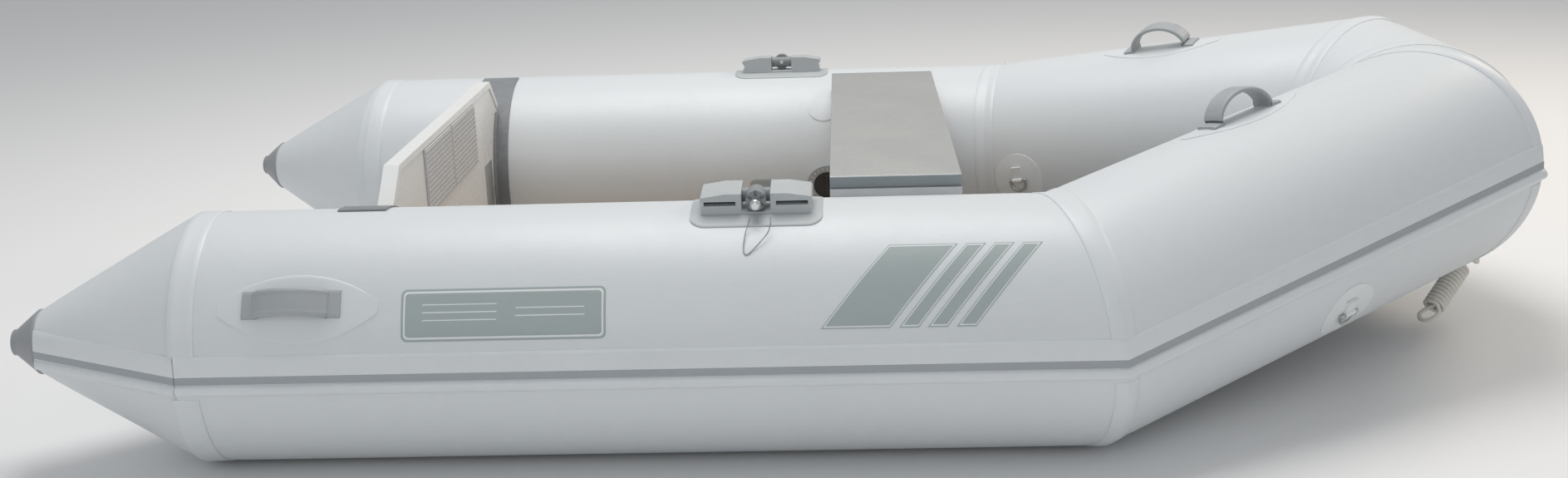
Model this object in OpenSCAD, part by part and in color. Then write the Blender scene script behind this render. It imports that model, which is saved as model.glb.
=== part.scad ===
// Inflatable dinghy with air tubes, transom, bench, oarlocks, valves, handles and slatted floor.
// +X is the bow, -Y is starboard, +Z is up. The origin is on the ground at mid-length.

/* [Air tubes] */
// Radius of the air tubes
tube_r = 180; // [160:1:216]
// Thickness of the coated fabric
skin_t = 1.2; // [0.9:0.1:2]
// Side tube centreline, out from the middle of the boat
tube_y = 520; // [430:5:624]
// Station where the side tube starts to taper, aft of the origin
taper_x = 891; // [820:1:1070]
// Station of the first bow mitre, ahead of the origin
mitre_x = 337; // [280:1:405]
// Length of the bow panel's rise, from the first to the second mitre
bow_run = 593; // [495:1:712]
// Centreline of the second bow mitre, out from the middle
nose_y = 157; // [130:1:188]
// Height of the tube centreline at the second bow mitre
nose_z = 311; // [290:1:350]
// How far the nose point stands ahead of the second mitre
nose_run = 53; // [45:1:65]
// Height of the tube centreline at the nose point
point_z = 290; // [270:1:330]

/* [Tail cones] */
// Length of the tapered cone
cone_l = 228; // [190:1:274]
// Radius of the cone's small end
cone_tip_r = 47; // [38:1:56]
// How far the cone's axis turns outwards, degrees
toe_out = 6.8; // [0:0.1:10]
// How far the cone's axis lifts, degrees
tail_lift = 1.4; // [0:0.1:4]
// Length of the moulded tail cap
cap_l = 42; // [34:1:50]
// Radius of the tail cap's blunt end
cap_end_r = 15; // [12:1:20]
// Wall of the tail cap
cap_wall = 3; // [2:0.5:5]

/* [Rub strake and seams] */
// Thickness of the strake's flat band
band_t = 1.5; // [1:0.1:3]
// Upper edge of the band round the tube, degrees above the widest line
band_top_a = 9.5; // [7:0.5:13]
// Lower edge of the band, degrees below the widest line
band_low_a = 10; // [9:0.5:14]
// Radius of the half-round bead
bead_r = 8.5; // [6:0.5:9]
// Middle of the bead, degrees below the widest line
bead_a = 5.9; // [5.6:0.1:7]
// Thickness of the grey stripe above the bead
stripe_t = 0.5; // [0.3:0.1:1]
// Lower edge of the stripe, degrees below the widest line
stripe_low_a = 3; // [2.6:0.1:3]
// Upper edge of the stripe, degrees above the widest line
stripe_top_a = 0.5; // [-1:0.1:4]
// Width of the seam tapes
tape_w = 35; // [25:1:45]
// Thickness of the seam tapes
tape_t = 0.8; // [0.5:0.1:1.2]

/* [Transom] */
// Station of the transom's front face, aft of the origin
transom_x = 658; // [600:1:720]
// Thickness of the transom board
transom_t = 20; // [15:1:28]
// Height of the transom's top edge
transom_top_z = 385; // [360:1:420]
// Half the length of the transom's level top edge
transom_half_w = 342; // [300:1:380]
// Thickness of the holder glued to the tube
holder_t = 3; // [2:0.5:5]
// Width of the holder along the boat
holder_w = 70; // [56:1:90]
// Height of the holder's two ribs
holder_rib_h = 15; // [10:1:22]
// Thickness of each rib
holder_rib_t = 5; // [3:0.5:8]
// Length of one inner motor pad
pad_l = 186; // [150:1:200]
// Height of the motor pads
pad_h = 108; // [90:1:125]
// Thickness of the motor pads
pad_t = 4; // [3:0.5:8]

/* [Bench] */
// Width of the bench along the boat
bench_w = 192; // [160:1:230]
// Length of the bench board across the boat
bench_l = 850; // [800:1:900]
// Thickness of the bench board
bench_t = 16; // [12:1:22]
// Height of the bench's top face
bench_top_z = 371; // [365:1:385]
// Station of the bench's aft edge, ahead of the origin
bench_x = -4; // [-40:1:40]
// Radius of the rail's round head
rail_head_r = 4; // [3.5:0.5:5]
// Clearance between the rail's head and the bench channel
rail_gap = 0.4; // [0.3:0.1:0.8]

/* [Oarlocks] */
// Station of the oarlock's centre
oarlock_x = -105; // [-140:1:-80]
// Angle of the oarlock round the tube, from the widest line
oarlock_a = 85; // [80:1:92]
// Length of the oarlock moulding
oarlock_l = 156; // [130:1:180]
// Width of the oarlock moulding
oarlock_w = 60; // [50:1:72]
// Height of the oarlock moulding above its pad
oarlock_h = 27; // [24:1:34]
// Width of the slot that holds the pivot
pivot_slot_w = 40; // [34:1:46]
// Radius of the pivot's axle
axle_r = 4; // [3:0.5:5]
// Running clearance of axles and pins
run_gap = 0.05; // [0.02:0.01:0.1]
// Radius of the oar pin
pin_r = 4; // [3:0.5:5]

/* [Valves, rings and handles] */
// Station of the inflation valves
valve_x = -17; // [-60:1:10]
// Radius of the valve's outer ring
valve_ring_r = 39; // [34:1:44]
// Radius of the valve body
valve_body_r = 22; // [19:0.5:25]
// Radius of the wire of the D-rings
ring_wire_r = 2.5; // [2:0.25:3.5]
// Inside width of the D-rings
ring_w = 25; // [20:1:32]
// Length of the carry handles
handle_l = 134; // [115:1:150]
// Width of the handle straps
handle_w = 38; // [30:1:46]
// Thickness of the handle straps
handle_t = 6; // [4:0.5:8]

/* [Floor] */
// Height of the floor sheet above the ground
floor_z = 24; // [18:1:32]
// Thickness of the plywood slats
slat_t = 9; // [6:1:12]
// Width of one slat along the boat
slat_w = 110; // [90:1:130]
// Gap between slats
slat_gap = 26; // [15:1:30]

/* [Hidden] */
$fn = 180;

// ---- directions and frames -------------------------------------------------------------

function unit(v) = v / norm(v);
// The direction that mirrors n across the mitre between tube directions a and b.
function turn(n, a, b) = let (m = unit(a + b)) n - 2 * (n * m) * m;
// Where the line at distance r along n beside the axis through p meets the mitre plane m.
function corner(p, n, d, m, r) = p + r * n - d * (r * (n * m) / (d * m));

knee = [-taper_x, -tube_y, tube_r];
mitre = [mitre_x, -tube_y, tube_r];
nose = [mitre_x + bow_run, -nose_y, nose_z];
point = [mitre_x + bow_run + nose_run, 0, point_z];

stub_l = 2 * tube_r * tan(toe_out / 2);
tail_dir = [cos(toe_out) * cos(tail_lift), sin(toe_out) * cos(tail_lift), -sin(tail_lift)];
tip = knee - tail_dir * (cone_l + stub_l);

// Each run of tube: where it starts, its forward direction, its outward normal, its length.
side_dir = [1, 0, 0];
bow_dir = unit(nose - mitre);
nose_dir = unit(point - nose);
side_out = [0, -1, 0];
bow_out = turn(side_out, side_dir, bow_dir);
nose_out = turn(bow_out, bow_dir, nose_dir);
tail_out = turn(side_out, side_dir, tail_dir);
RUNS = [
    [tip, tail_dir, tail_out, cone_l + stub_l],
    [knee, side_dir, side_out, taper_x + mitre_x],
    [mitre, bow_dir, bow_out, norm(nose - mitre)],
    [nose, nose_dir, nose_out, norm(point - nose)]
];
// The mitre plane's normal at the start of each run, and at the nose point.
CUTS = [tail_dir, unit(tail_dir + side_dir), unit(side_dir + bow_dir), unit(bow_dir + nose_dir),
        [0, 1, 0]];
STOPS = [tip, knee, mitre, nose, point];
TAIL = 0;
SIDE = 1;
BOW = 2;
NOSE = 3;

big = 900;
overrun = 260;

function columns(x, y, z, p) = [
    [x[0], y[0], z[0], p[0]], [x[1], y[1], z[1], p[1]], [x[2], y[2], z[2], p[2]], [0, 0, 0, 1]];
function plane_frame(p, m) = let (x = unit(cross([0, 0, 1], m))) columns(x, cross(m, x), m, p);

// Keeps the side of the plane through p that the normal m points away from.
module behind(p, m) {
    multmatrix(plane_frame(p, m)) translate([-big, -big, -2 * big]) cube([2 * big, 2 * big, 2 * big]);
}

// A run's frame: X outwards, Y up round the tube, Z backwards along it, origin at its start.
module run_frame(i) {
    multmatrix(columns(RUNS[i][2], cross(RUNS[i][2], RUNS[i][1]), -RUNS[i][1], RUNS[i][0])) children();
}

// A frame on the tube's skin: X forwards, Y up round the tube, Z outwards.
module on_skin(i, s, a, lift = 0) {
    run_frame(i) translate([0, 0, -s]) rotate([0, 0, a]) translate([tube_r + lift, 0, 0])
        rotate([0, 90, 0]) children();
}

// The same frame, with its origin on the tube's axis.
module on_axis(i, s, a) {
    run_frame(i) translate([0, 0, -s]) rotate([0, 0, a]) rotate([0, 90, 0]) children();
}

module both() {
    children();
    mirror([0, 1, 0]) children();
}

module port() { mirror([0, 1, 0]) children(); }

// ---- tube solids -----------------------------------------------------------------------

// The tube's outer shape over run i, grown by g, before its ends are cut.
module raw_tube(i, g) {
    if (i == TAIL)
        run_frame(i) rotate_extrude() polygon([
            [0, 0], [cone_tip_r + g, 0], [tube_r + g, -cone_l],
            [tube_r + g, -cone_l - stub_l - overrun], [0, -cone_l - stub_l - overrun]]);
    else
        run_frame(i) translate([0, 0, -RUNS[i][3] - overrun])
            cylinder(r = tube_r + g, h = RUNS[i][3] + 2 * overrun);
}

// Cuts a run off at its mitres, or a small gap short of them.
module cut_run(i, start = 0, end = 0) {
    intersection() {
        children();
        if (i != TAIL) behind(STOPS[i] + start * CUTS[i], -CUTS[i]);
        behind(STOPS[i + 1] - end * CUTS[i + 1], CUTS[i + 1]);
    }
}

module skin(i, end = 0) {
    difference() {
        cut_run(i, 0, end) raw_tube(i, 0);
        raw_tube(i, -skin_t);
    }
}

// A skin between g0 and g1 outside run i, between two angles round the tube.
module lay_on(i, g0, g1, a0, a1) {
    back = -RUNS[i][3] - overrun;
    run_frame(i) rotate([0, 0, a0]) rotate_extrude(angle = a1 - a0) polygon(
        i == TAIL ? [[cone_tip_r + g0, 0], [cone_tip_r + g1, 0], [tube_r + g1, -cone_l],
                     [tube_r + g1, back], [tube_r + g0, back], [tube_r + g0, -cone_l]]
                  : [[tube_r + g0, overrun], [tube_r + g1, overrun], [tube_r + g1, back],
                     [tube_r + g0, back]]);
}

// A flat outline wrapped on the tube, from g0 to g1 outside it.
module wrap(i, s, a, g0, g1) {
    intersection() {
        difference() {
            raw_tube(i, g1);
            raw_tube(i, g0);
        }
        on_skin(i, s, a, -tube_r * 0.4) linear_extrude(height = tube_r * 0.6) children();
    }
}

module rounded(l, w, r) {
    for (x = [-1, 1]) for (y = [-1, 1]) translate([x * (l / 2 - r), y * (w / 2 - r)]) circle(r);
    square([l - 2 * r, w], center = true);
    square([l, w - 2 * r], center = true);
}

// ---- air chambers ----------------------------------------------------------------------

tube_colour = "#e6ebec";

module side_tube() {
    color(tube_colour) difference() {
        skin(SIDE);
        valve_place() translate([0, 0, -tube_r / 2]) cylinder(r = valve_body_r + run_gap, h = tube_r);
    }
}
module side_tube_starboard() { side_tube(); }
module side_tube_port() { port() side_tube(); }
module tail_cone_starboard() { color(tube_colour) skin(TAIL); }
module tail_cone_port() { port() tail_cone_starboard(); }
module bow_panel_starboard() { color(tube_colour) skin(BOW); }
module bow_panel_port() { port() bow_panel_starboard(); }
module nose_panel_starboard() { color(tube_colour) skin(NOSE, skin_t / 2); }
module nose_panel_port() { port() nose_panel_starboard(); }

module chamber_baffle() {
    color("#c9cfd0") intersection() {
        raw_tube(NOSE, 0);
        mirror([0, 1, 0]) raw_tube(NOSE, 0);
        translate([-2 * big, -skin_t / 2, -big]) cube([4 * big, skin_t, 2 * big]);
    }
}

cap_round_r = 6;
spigot_l = 14;

module tail_cap_starboard() {
    slope = atan((cone_tip_r - cap_end_r) / cap_l);
    color("#96999c") run_frame(TAIL) rotate_extrude() difference() {
        union() {
            polygon([[0, 0], [cone_tip_r, 0], [cap_end_r + cap_round_r * sin(slope), cap_l - cap_round_r],
                     [cap_end_r - cap_round_r * 0.4, cap_l], [0, cap_l]]);
            translate([0, -spigot_l]) square([cone_tip_r - skin_t - 0.3 - spigot_l * 0.6, spigot_l]);
        }
        polygon([[0, -spigot_l - 1], [cone_tip_r - 3 * cap_wall - spigot_l * 0.6, -spigot_l - 1],
                 [cone_tip_r - 3 * cap_wall - spigot_l * 0.6, 0], [cap_end_r - cap_wall, cap_l - cap_wall],
                 [0, cap_l - cap_wall]]);
    }
}
module tail_cap_port() { port() tail_cap_starboard(); }

// The arcs of a seam tape: over the top, and from the strake down to the floor seam.
tape_over_a = 224;
tape_under_a = 82;
// Gap left where two lengths of tape or strake butt at a mitre.
butt_gap = 0.05;

// Half of the tape over mitre i, on run k, which is the run before or after that mitre.
module half_tape(i, k) {
    way = k < i ? -1 : 1;
    for (arc = [[band_top_a, tape_over_a], [-tape_under_a, -band_low_a]]) intersection() {
        lay_on(k, 0, tape_t, arc[0], arc[1]);
        behind(STOPS[i] + way * butt_gap * CUTS[i], -way * CUTS[i]);
        behind(STOPS[i] + way * tape_w / 2 * CUTS[i], way * CUTS[i]);
    }
}

module seam_tape(i) {
    half_tape(i, i - 1);
    if (i <= NOSE) half_tape(i, i);
}

module seam_tapes() {
    color("#eef1f1") {
        both() for (i = [SIDE, BOW, NOSE]) seam_tape(i);
        difference() {
            both() seam_tape(NOSE + 1);
            eye_place() translate([0, 0, -tube_r / 2]) cylinder(r = eye_pad_r + 2, h = tube_r);
        }
    }
}

// ---- rub strake ------------------------------------------------------------------------

tail_rows = 6;
tail_up = cross(tail_out, tail_dir);
// How far the strake's moulded tail stands off the cone's facets.
tail_lift_off = 0.3;
// The film of glue under the band.
band_glue = 0.05;
// the same gap on the tail cones, where the skin between two rows is flat
tail_glue = 0.20;

// The tube's radius at row k of the tail, and a point there: u outwards and v up from the axis.
function tail_r(k) = cone_tip_r + (tube_r - cone_tip_r) * min(k, tail_rows) / tail_rows;
function tail_spot(k, u, v) = let (side = u * tail_out + v * tail_up)
    k <= tail_rows ? tip + tail_dir * cone_l * k / tail_rows + side
    : knee + side - tail_dir * (side * CUTS[SIDE] / (tail_dir * CUTS[SIDE]) + butt_gap);

// Rows of outlines with n points each, skinned into a closed solid.
module skinned(rows) {
    n = len(rows[0]);
    polyhedron(
        points = [for (row = rows) each row],
        faces = concat(
            [[for (k = [n - 1 : -1 : 0]) k]],
            [for (i = [0 : len(rows) - 2]) for (k = [0 : n - 1])
                [i * n + k, i * n + (k + 1) % n, (i + 1) * n + (k + 1) % n, (i + 1) * n + k]],
            [[for (k = [0 : n - 1]) (len(rows) - 1) * n + k]]),
        convexity = 4);
}

// A strip on the tail that keeps its width, from g0 to g1 outside it and from v0 to v1.
module tail_strip(g0, g1, v0, v1) {
    steps = 14;
    skinned([for (k = [0 : tail_rows + 1]) [
        for (q = [0 : steps]) let (v = v0 + (v1 - v0) * q / steps)
            tail_spot(k, sqrt(pow(tail_r(k) + g1, 2) - v * v), v),
        for (q = [steps : -1 : 0]) let (v = v0 + (v1 - v0) * q / steps)
            tail_spot(k, sqrt(pow(tail_r(k) + g0 + tail_lift_off, 2) - v * v), v)]]);
}

// A section drawn round the axis of run i, carried along the run and cut at its mitres.
module moulding(i) {
    cut_run(i, butt_gap, butt_gap) run_frame(i) translate([0, 0, -RUNS[i][3] - overrun])
        linear_extrude(height = RUNS[i][3] + 2 * overrun) children();
}

// A strip along run i, from g0 to g1 outside it and from angle a0 to a1.
module strip_on(i, g0, g1, a0, a1) {
    if (i == TAIL) tail_strip(g0, g1, tube_r * sin(a0), tube_r * sin(a1));
    else moulding(i) intersection() {
        difference() {
            circle(tube_r + g1);
            circle(tube_r + g0);
        }
        polygon([[0, 0], [big * cos(a0), big * sin(a0)], [big * cos(a1), big * sin(a1)]]);
    }
}

module rub_strake_band() {
    color("#dfe3e4") both() for (i = [TAIL : NOSE]) 
        strip_on(i, i == TAIL ? tail_glue : band_glue, band_t, -band_low_a, band_top_a);
}

module rub_strake_stripe() {
    color("#8f9496") both() for (i = [TAIL : NOSE])
        strip_on(i, band_t, band_t + stripe_t, -stripe_low_a, stripe_top_a);
}

bead_sink = 2;
bead_line = tube_r + band_t - bead_sink;

module bead_profile() {
    difference() {
        rotate(-bead_a) translate([bead_line, 0]) circle(bead_r);
        circle(tube_r + band_t);
    }
}

// The bead's tail: a half round on the cone, as far below the axis all the way.
module tail_bead() {
    steps = 14;
    half_w = sqrt(bead_r * bead_r - bead_sink * bead_sink);
    open_a = acos(bead_sink / bead_r);
    skinned([for (k = [0 : tail_rows + 1])
        let (r = tail_r(k) + band_t, low = asin(bead_line * sin(bead_a) / (r - bead_sink)),
             base_r = r + tail_lift_off, wide = asin(half_w / base_r))
        [for (q = [-steps : steps]) let (t = open_a * q / steps)
            tail_spot(k, (r - bead_sink) * cos(low) + bead_r * cos(t - low),
                      -(r - bead_sink) * sin(low) + bead_r * sin(t - low)),
         for (q = [steps : -1 : -steps]) let (t = wide * 0.98 * q / steps - low)
            tail_spot(k, base_r * cos(t), base_r * sin(t))]]);
}

module rub_strake_bead() {
    color("#f2f4f4") both() {
        tail_bead();
        for (i = [SIDE : NOSE]) moulding(i) bead_profile();
    }
}

// ---- transom ---------------------------------------------------------------------------

transom_bottom_z = floor_z + skin_t;
board_gap_r = tube_r + holder_t;
// The point on the holder where the chamfered shoulder lands.
shoulder_a = 127.7;
shoulder = [tube_y + board_gap_r * cos(shoulder_a), tube_r + board_gap_r * sin(shoulder_a)];
motor_pad_z = 320;
drain_y = -150;
drain_z = 75;
drain_r = 14;
plug_r = 11;

module across(x, l) {
    translate([x, 0, 0]) rotate([90, 0, 90]) linear_extrude(height = l) children();
}

module transom_outline(drop = 0) {
    difference() {
        polygon([
            [-transom_half_w, transom_top_z - drop], [transom_half_w, transom_top_z - drop],
            [shoulder[0], shoulder[1] - drop], [tube_y, tube_r], [tube_y - tube_r / 2, transom_bottom_z],
            [-tube_y + tube_r / 2, transom_bottom_z], [-tube_y, tube_r],
            [-shoulder[0], shoulder[1] - drop]]);
        for (s = [-1, 1]) translate([s * tube_y, tube_r]) circle(board_gap_r);
    }
}

module transom_board() {
    color("#dfe2e1") difference() {
        across(-transom_x - transom_t, transom_t) transom_outline();
        translate([-transom_x - transom_t - 1, drain_y, drain_z]) rotate([0, 90, 0])
            cylinder(r = drain_r + run_gap, h = transom_t + 2);
    }
}

trim_t = 2;
trim_drop = 10;
trim_stop = 10;

// A channel that caps the top edge and both shoulders.
module transom_trim() {
    fall = [shoulder[0] - transom_half_w, shoulder[1] - transom_top_z];
    way = fall / norm(fall);
    out = [-way[1], way[0]];
    bend = tan(acos(way[0]) / 2);
    end = shoulder - trim_stop * way;
    half = [
        [transom_half_w + trim_t * bend, transom_top_z + trim_t], end + trim_t * out,
        end - trim_drop * out, [transom_half_w - trim_drop * bend, transom_top_z - trim_drop]];
    color("#f4f5f4") difference() {
        across(-transom_x - transom_t - trim_t, transom_t + 2 * trim_t)
            polygon(concat(half, [for (k = [3 : -1 : 0]) [-half[k][0], half[k][1]]]));
        across(-transom_x - transom_t, transom_t) polygon([
            [-transom_half_w, transom_top_z], [transom_half_w, transom_top_z], shoulder, [tube_y, 0],
            [-tube_y, 0], [-shoulder[0], shoulder[1]]]);
    }
}

holder_top_a = 91;
holder_low_a = 236;

// A strip bent round the tube, rectangular in section, from r0 to r1 and z0 to z1.
module holder_arc(a0, a1, r0, r1, z0, z1) {
    run_frame(SIDE) translate([0, 0, transom_x + transom_t / 2 - taper_x]) rotate([0, 0, a0])
        rotate_extrude(angle = a1 - a0) translate([r0, z0]) square([r1 - r0, z1 - z0]);
}

module transom_holders() {
    low = tube_r + holder_t;
    slot = transom_t / 2 + 0.2;
    rib_start = shoulder_a + 7;
    // The ribs end just above the floor sheet.
    rib_end = 180 + asin((tube_r - floor_z - skin_t - 2) / (low + holder_rib_h));
    color("#8d9193") both() union() {
        holder_arc(holder_top_a, holder_low_a, tube_r, low, -holder_w / 2, holder_w / 2);
        for (z = [-slot - holder_rib_t, slot])
            holder_arc(rib_start, rib_end, tube_r + 1, low + holder_rib_h, z, z + holder_rib_t);
    }
}

module motor_pads_inner() {
    color("#9ea3a4") for (s = [-1, 1])
        translate([-transom_x, s * (pad_l / 2 + 2) - pad_l / 2, motor_pad_z - pad_h / 2])
            cube([pad_t, pad_l, pad_h]);
}

outer_pad_l = 380;

module motor_pad_outer() {
    color("#9ea3a4") translate([-transom_x - transom_t - pad_t, -outer_pad_l / 2, motor_pad_z - pad_h / 2])
        cube([pad_t, outer_pad_l, pad_h]);
}

plate_t = 0.8;

module data_plate() {
    color("#b9bec0") translate([-transom_x, 250, 135]) cube([plate_t, 62, 108]);
}

drain_flange_r = 24;
drain_flange_t = 3;

module drain_place() {
    translate([-transom_x, drain_y, drain_z]) rotate([0, 90, 0]) children();
}

module drain_fitting() {
    color("#3a3d3f") drain_place() difference() {
        union() {
            translate([0, 0, -transom_t]) cylinder(r = drain_r, h = transom_t);
            cylinder(r = drain_flange_r, h = drain_flange_t);
            translate([0, 0, -transom_t - drain_flange_t]) cylinder(r = drain_flange_r, h = drain_flange_t);
        }
        translate([0, 0, -transom_t - drain_flange_t - 1])
            cylinder(r = plug_r + run_gap, h = transom_t + 2 * drain_flange_t + 2);
    }
}

module drain_plug() {
    color("#2b2d2f") drain_place() {
        translate([0, 0, -transom_t]) cylinder(r = plug_r, h = transom_t + drain_flange_t + 0.3);
        translate([0, 0, drain_flange_t + 0.3]) cylinder(r = plug_r + 5, h = 7);
        translate([0, 0, drain_flange_t + 7.3]) cylinder(r = 5, h = 9);
    }
}

// ---- bench -----------------------------------------------------------------------------

end_cap_l = 6;
rail_y = bench_l / 2 - 2;
channel_w = 20;
channel_h = 12;
bench_under_z = bench_top_z - bench_t;
head_z = bench_under_z - channel_h + rail_head_r + rail_gap + 1;
rail_web = 3;
rail_foot_w = 26;
rail_foot_t = 3;

// The rail's foot follows the tube, and its web carries a round head.
module seat_rails() {
    a = 180 - acos((tube_y - rail_y) / tube_r);
    foot_a = rail_foot_w / tube_r * 180 / PI / 2;
    color("#c3c8ca") both() intersection() {
        union() {
            lay_on(SIDE, 0, rail_foot_t, a - foot_a, a + foot_a);
            difference() {
                translate([bench_x, -rail_y - rail_web / 2, tube_r]) cube([bench_w, rail_web, head_z - tube_r]);
                raw_tube(SIDE, rail_foot_t / 2);
            }
            translate([bench_x, -rail_y, head_z]) rotate([0, 90, 0]) cylinder(r = rail_head_r, h = bench_w);
        }
        // The aft end is cut back to a point, for threading the channel on.
        translate([bench_x - 2, 0, 0]) rotate([90, 0, 0]) linear_extrude(height = big)
            polygon([[0, tube_r], [2, bench_under_z - channel_h - 4], [20, bench_under_z],
                     [bench_w, bench_under_z], [bench_w, tube_r]]);
    }
}

module seat_channels() {
    color("#a9aeb0") both() difference() {
        translate([bench_x, -rail_y - channel_w / 2, bench_under_z - channel_h])
            cube([bench_w, channel_w, channel_h]);
        translate([bench_x - 1, -rail_y, head_z]) rotate([0, 90, 0])
            cylinder(r = rail_head_r + rail_gap, h = bench_w + 2);
        translate([bench_x - 1, -rail_y - rail_web / 2 - rail_gap, bench_under_z - channel_h - 1])
            cube([bench_w + 2, rail_web + 2 * rail_gap, channel_h / 2]);
    }
}

bench_wall = 2.5;
bench_cells = 4;

// A hollow plank with inner webs, open at the ends where the caps plug in.
module seat_board() {
    l = bench_l - 2 * end_cap_l;
    cell = (bench_w - bench_wall) / bench_cells;
    color("#b4b3ae") difference() {
        translate([bench_x, -l / 2, bench_under_z]) cube([bench_w, l, bench_t]);
        for (k = [0 : bench_cells - 1])
            translate([bench_x + bench_wall + k * cell, -l / 2 - 1, bench_under_z + bench_wall])
                cube([cell - bench_wall, l + 2, bench_t - 2 * bench_wall]);
    }
}

module seat_end_caps() {
    cell = (bench_w - bench_wall) / bench_cells;
    plug_gap = 0.2;
    plug_l = 12;
    color("#6d7072") both() {
        translate([bench_x, -bench_l / 2, bench_under_z]) cube([bench_w, end_cap_l, bench_t]);
        for (k = [0 : bench_cells - 1])
            translate([bench_x + bench_wall + k * cell + plug_gap, -bench_l / 2 + end_cap_l - 1,
                       bench_under_z + bench_wall + plug_gap])
                cube([cell - bench_wall - 2 * plug_gap, plug_l, bench_t - 2 * bench_wall - 2 * plug_gap]);
    }
}

// ---- oarlocks --------------------------------------------------------------------------

oar_pad_t = 2;
oar_pad_l = oarlock_l + 28;
oar_pad_w = oarlock_w + 54;
foot_h = 8;
pivot_z = 16;
pivot_r = 10;
collar_r = 14.5;
collar_l = 26;
collar_y = -12;
axle_l = 9;
horn_gap_h = 6;
horn_gap_z = 10;
pin_length = 56;
knob_r = 8;

// X forwards, Y inboard round the tube, Z out from the pad.
module oarlock_place() {
    on_skin(SIDE, taper_x + oarlock_x, oarlock_a, oar_pad_t) children();
}

module oarlock_pads() {
    color("#aeb3b5") both() wrap(SIDE, taper_x + oarlock_x, oarlock_a, 0, oar_pad_t)
        rounded(oar_pad_l, oar_pad_w, 22);
}

module horn_outline() {
    polygon([[pivot_slot_w / 2, -12], [pivot_slot_w / 2, oarlock_h], [pivot_slot_w / 2 + 24, oarlock_h],
             [oarlock_l / 2 - 2, oarlock_h - 5], [oarlock_l / 2, oarlock_h - 9],
             [oarlock_l / 2 - 6, foot_h], [oarlock_l / 2 - 2, foot_h - 3], [oarlock_l / 2 - 2, -12]]);
}

module oarlock_base_starboard() {
    color("#b3b8ba") difference() {
        oarlock_place() difference() {
            union() {
                for (s = [0, 1]) mirror([s, 0, 0]) rotate([90, 0, 0])
                    translate([0, 0, -oarlock_w / 2]) linear_extrude(height = oarlock_w) horn_outline();
                translate([-oarlock_l / 2 + 4, -oarlock_w / 2, -12])
                    cube([oarlock_l - 8, oarlock_w, 12 + pivot_z - collar_r - 0.8]);
            }
            // The recess under each horn, open outboard.
            for (s = [-1, 1]) translate([s * (pivot_slot_w / 2 + 30) - 22, -oarlock_w / 2 - 1, horn_gap_z])
                cube([44, 24, horn_gap_h]);
            translate([-pivot_slot_w / 2 - axle_l, 0, pivot_z]) rotate([0, 90, 0])
                cylinder(r = axle_r + run_gap, h = pivot_slot_w + 2 * axle_l);
        }
        raw_tube(SIDE, oar_pad_t);
    }
}
module oarlock_base_port() { port() oarlock_base_starboard(); }

pivot_side_gap = 0.4;
tooth_count = 6;
tooth_h = 3;

// A trunnion on its axle, with a notched collar that holds the oar pin.
module oarlock_pivot_starboard() {
    color("#8b9092") oarlock_place() translate([0, 0, pivot_z]) difference() {
        union() {
            translate([-pivot_slot_w / 2 + pivot_side_gap, 0, 0]) rotate([0, 90, 0])
                cylinder(r = pivot_r, h = pivot_slot_w - 2 * pivot_side_gap);
            translate([-pivot_slot_w / 2 - axle_l + 0.4, 0, 0]) rotate([0, 90, 0])
                cylinder(r = axle_r, h = pivot_slot_w + 2 * axle_l - 0.8);
            translate([0, collar_y + collar_l / 2, 0]) rotate([90, 0, 0]) cylinder(r = collar_r, h = collar_l + 3);
        }
        translate([0, 30, 0]) rotate([90, 0, 0]) cylinder(r = pin_r + run_gap, h = 80);
        for (k = [0 : tooth_count - 1])
            translate([0, collar_y - collar_l / 2 - 3, 0]) rotate([0, k * 360 / tooth_count, 0])
                translate([-2, -1, pin_r + 3]) cube([4, tooth_h + 1, collar_r]);
    }
}
module oarlock_pivot_port() { port() oarlock_pivot_starboard(); }

module oar_pin_starboard() {
    color("#c9ccce") oarlock_place() translate([0, 8, pivot_z]) rotate([90, 0, 0]) {
        cylinder(r = pin_r, h = pin_length);
        translate([0, 0, pin_length - 18]) cylinder(r1 = pin_r + 1, r2 = knob_r, h = 12);
        translate([0, 0, pin_length - 6]) cylinder(r = knob_r, h = 5);
        translate([0, 0, pin_length - 1]) cylinder(r1 = knob_r, r2 = knob_r - 3, h = 4);
    }
}
module oar_pin_port() { port() oar_pin_starboard(); }

// ---- cords -----------------------------------------------------------------------------

function tangent(p, i) = unit(p[min(i + 1, len(p) - 1)] - p[max(i - 1, 0)]);
// Two directions square to the route, held level so that the rings don't twist.
function side_of(t) = let (s = cross(t, [0, 0, 1])) norm(s) > 0.05 ? unit(s) : [1, 0, 0];
function rim(p, i, r, n) = let (t = tangent(p, i), u = side_of(t), v = cross(u, t))
    [for (k = [0 : n - 1]) p[i] + r * (cos(k * 360 / n) * u - sin(k * 360 / n) * v)];

module cord(route, r, n = 8) {
    skinned([for (i = [0 : len(route) - 1]) rim(route, i, r, n)]);
}

// A smooth curve through hand-chosen points.
function blend(a, b, c, d, t) = 0.5 * (2 * b + (c - a) * t + (2 * a - 5 * b + 4 * c - d) * t * t
    + (3 * b - a - 3 * c + d) * t * t * t);
function smooth(p, m) = concat([for (i = [0 : len(p) - 2]) for (k = [0 : m - 1])
    blend(p[max(i - 1, 0)], p[i], p[i + 1], p[min(i + 2, len(p) - 1)], k / m)], [p[len(p) - 1]]);

lanyard_r = 0.8;
LANYARD = [[-112, -591, 359], [-115, -600, 350], [-118, -610, 342], [-120, -621, 332], [-120, -633, 322],
           [-115, -636, 319], [-106, -630, 325], [-96, -622, 334], [-88, -614, 342], [-84, -606, 352],
           [-84, -597, 360]];
module pin_lanyard_starboard() { color("#7a7d80") cord(smooth(LANYARD, 3), lanyard_r); }
module pin_lanyard_port() { port() pin_lanyard_starboard(); }

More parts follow.
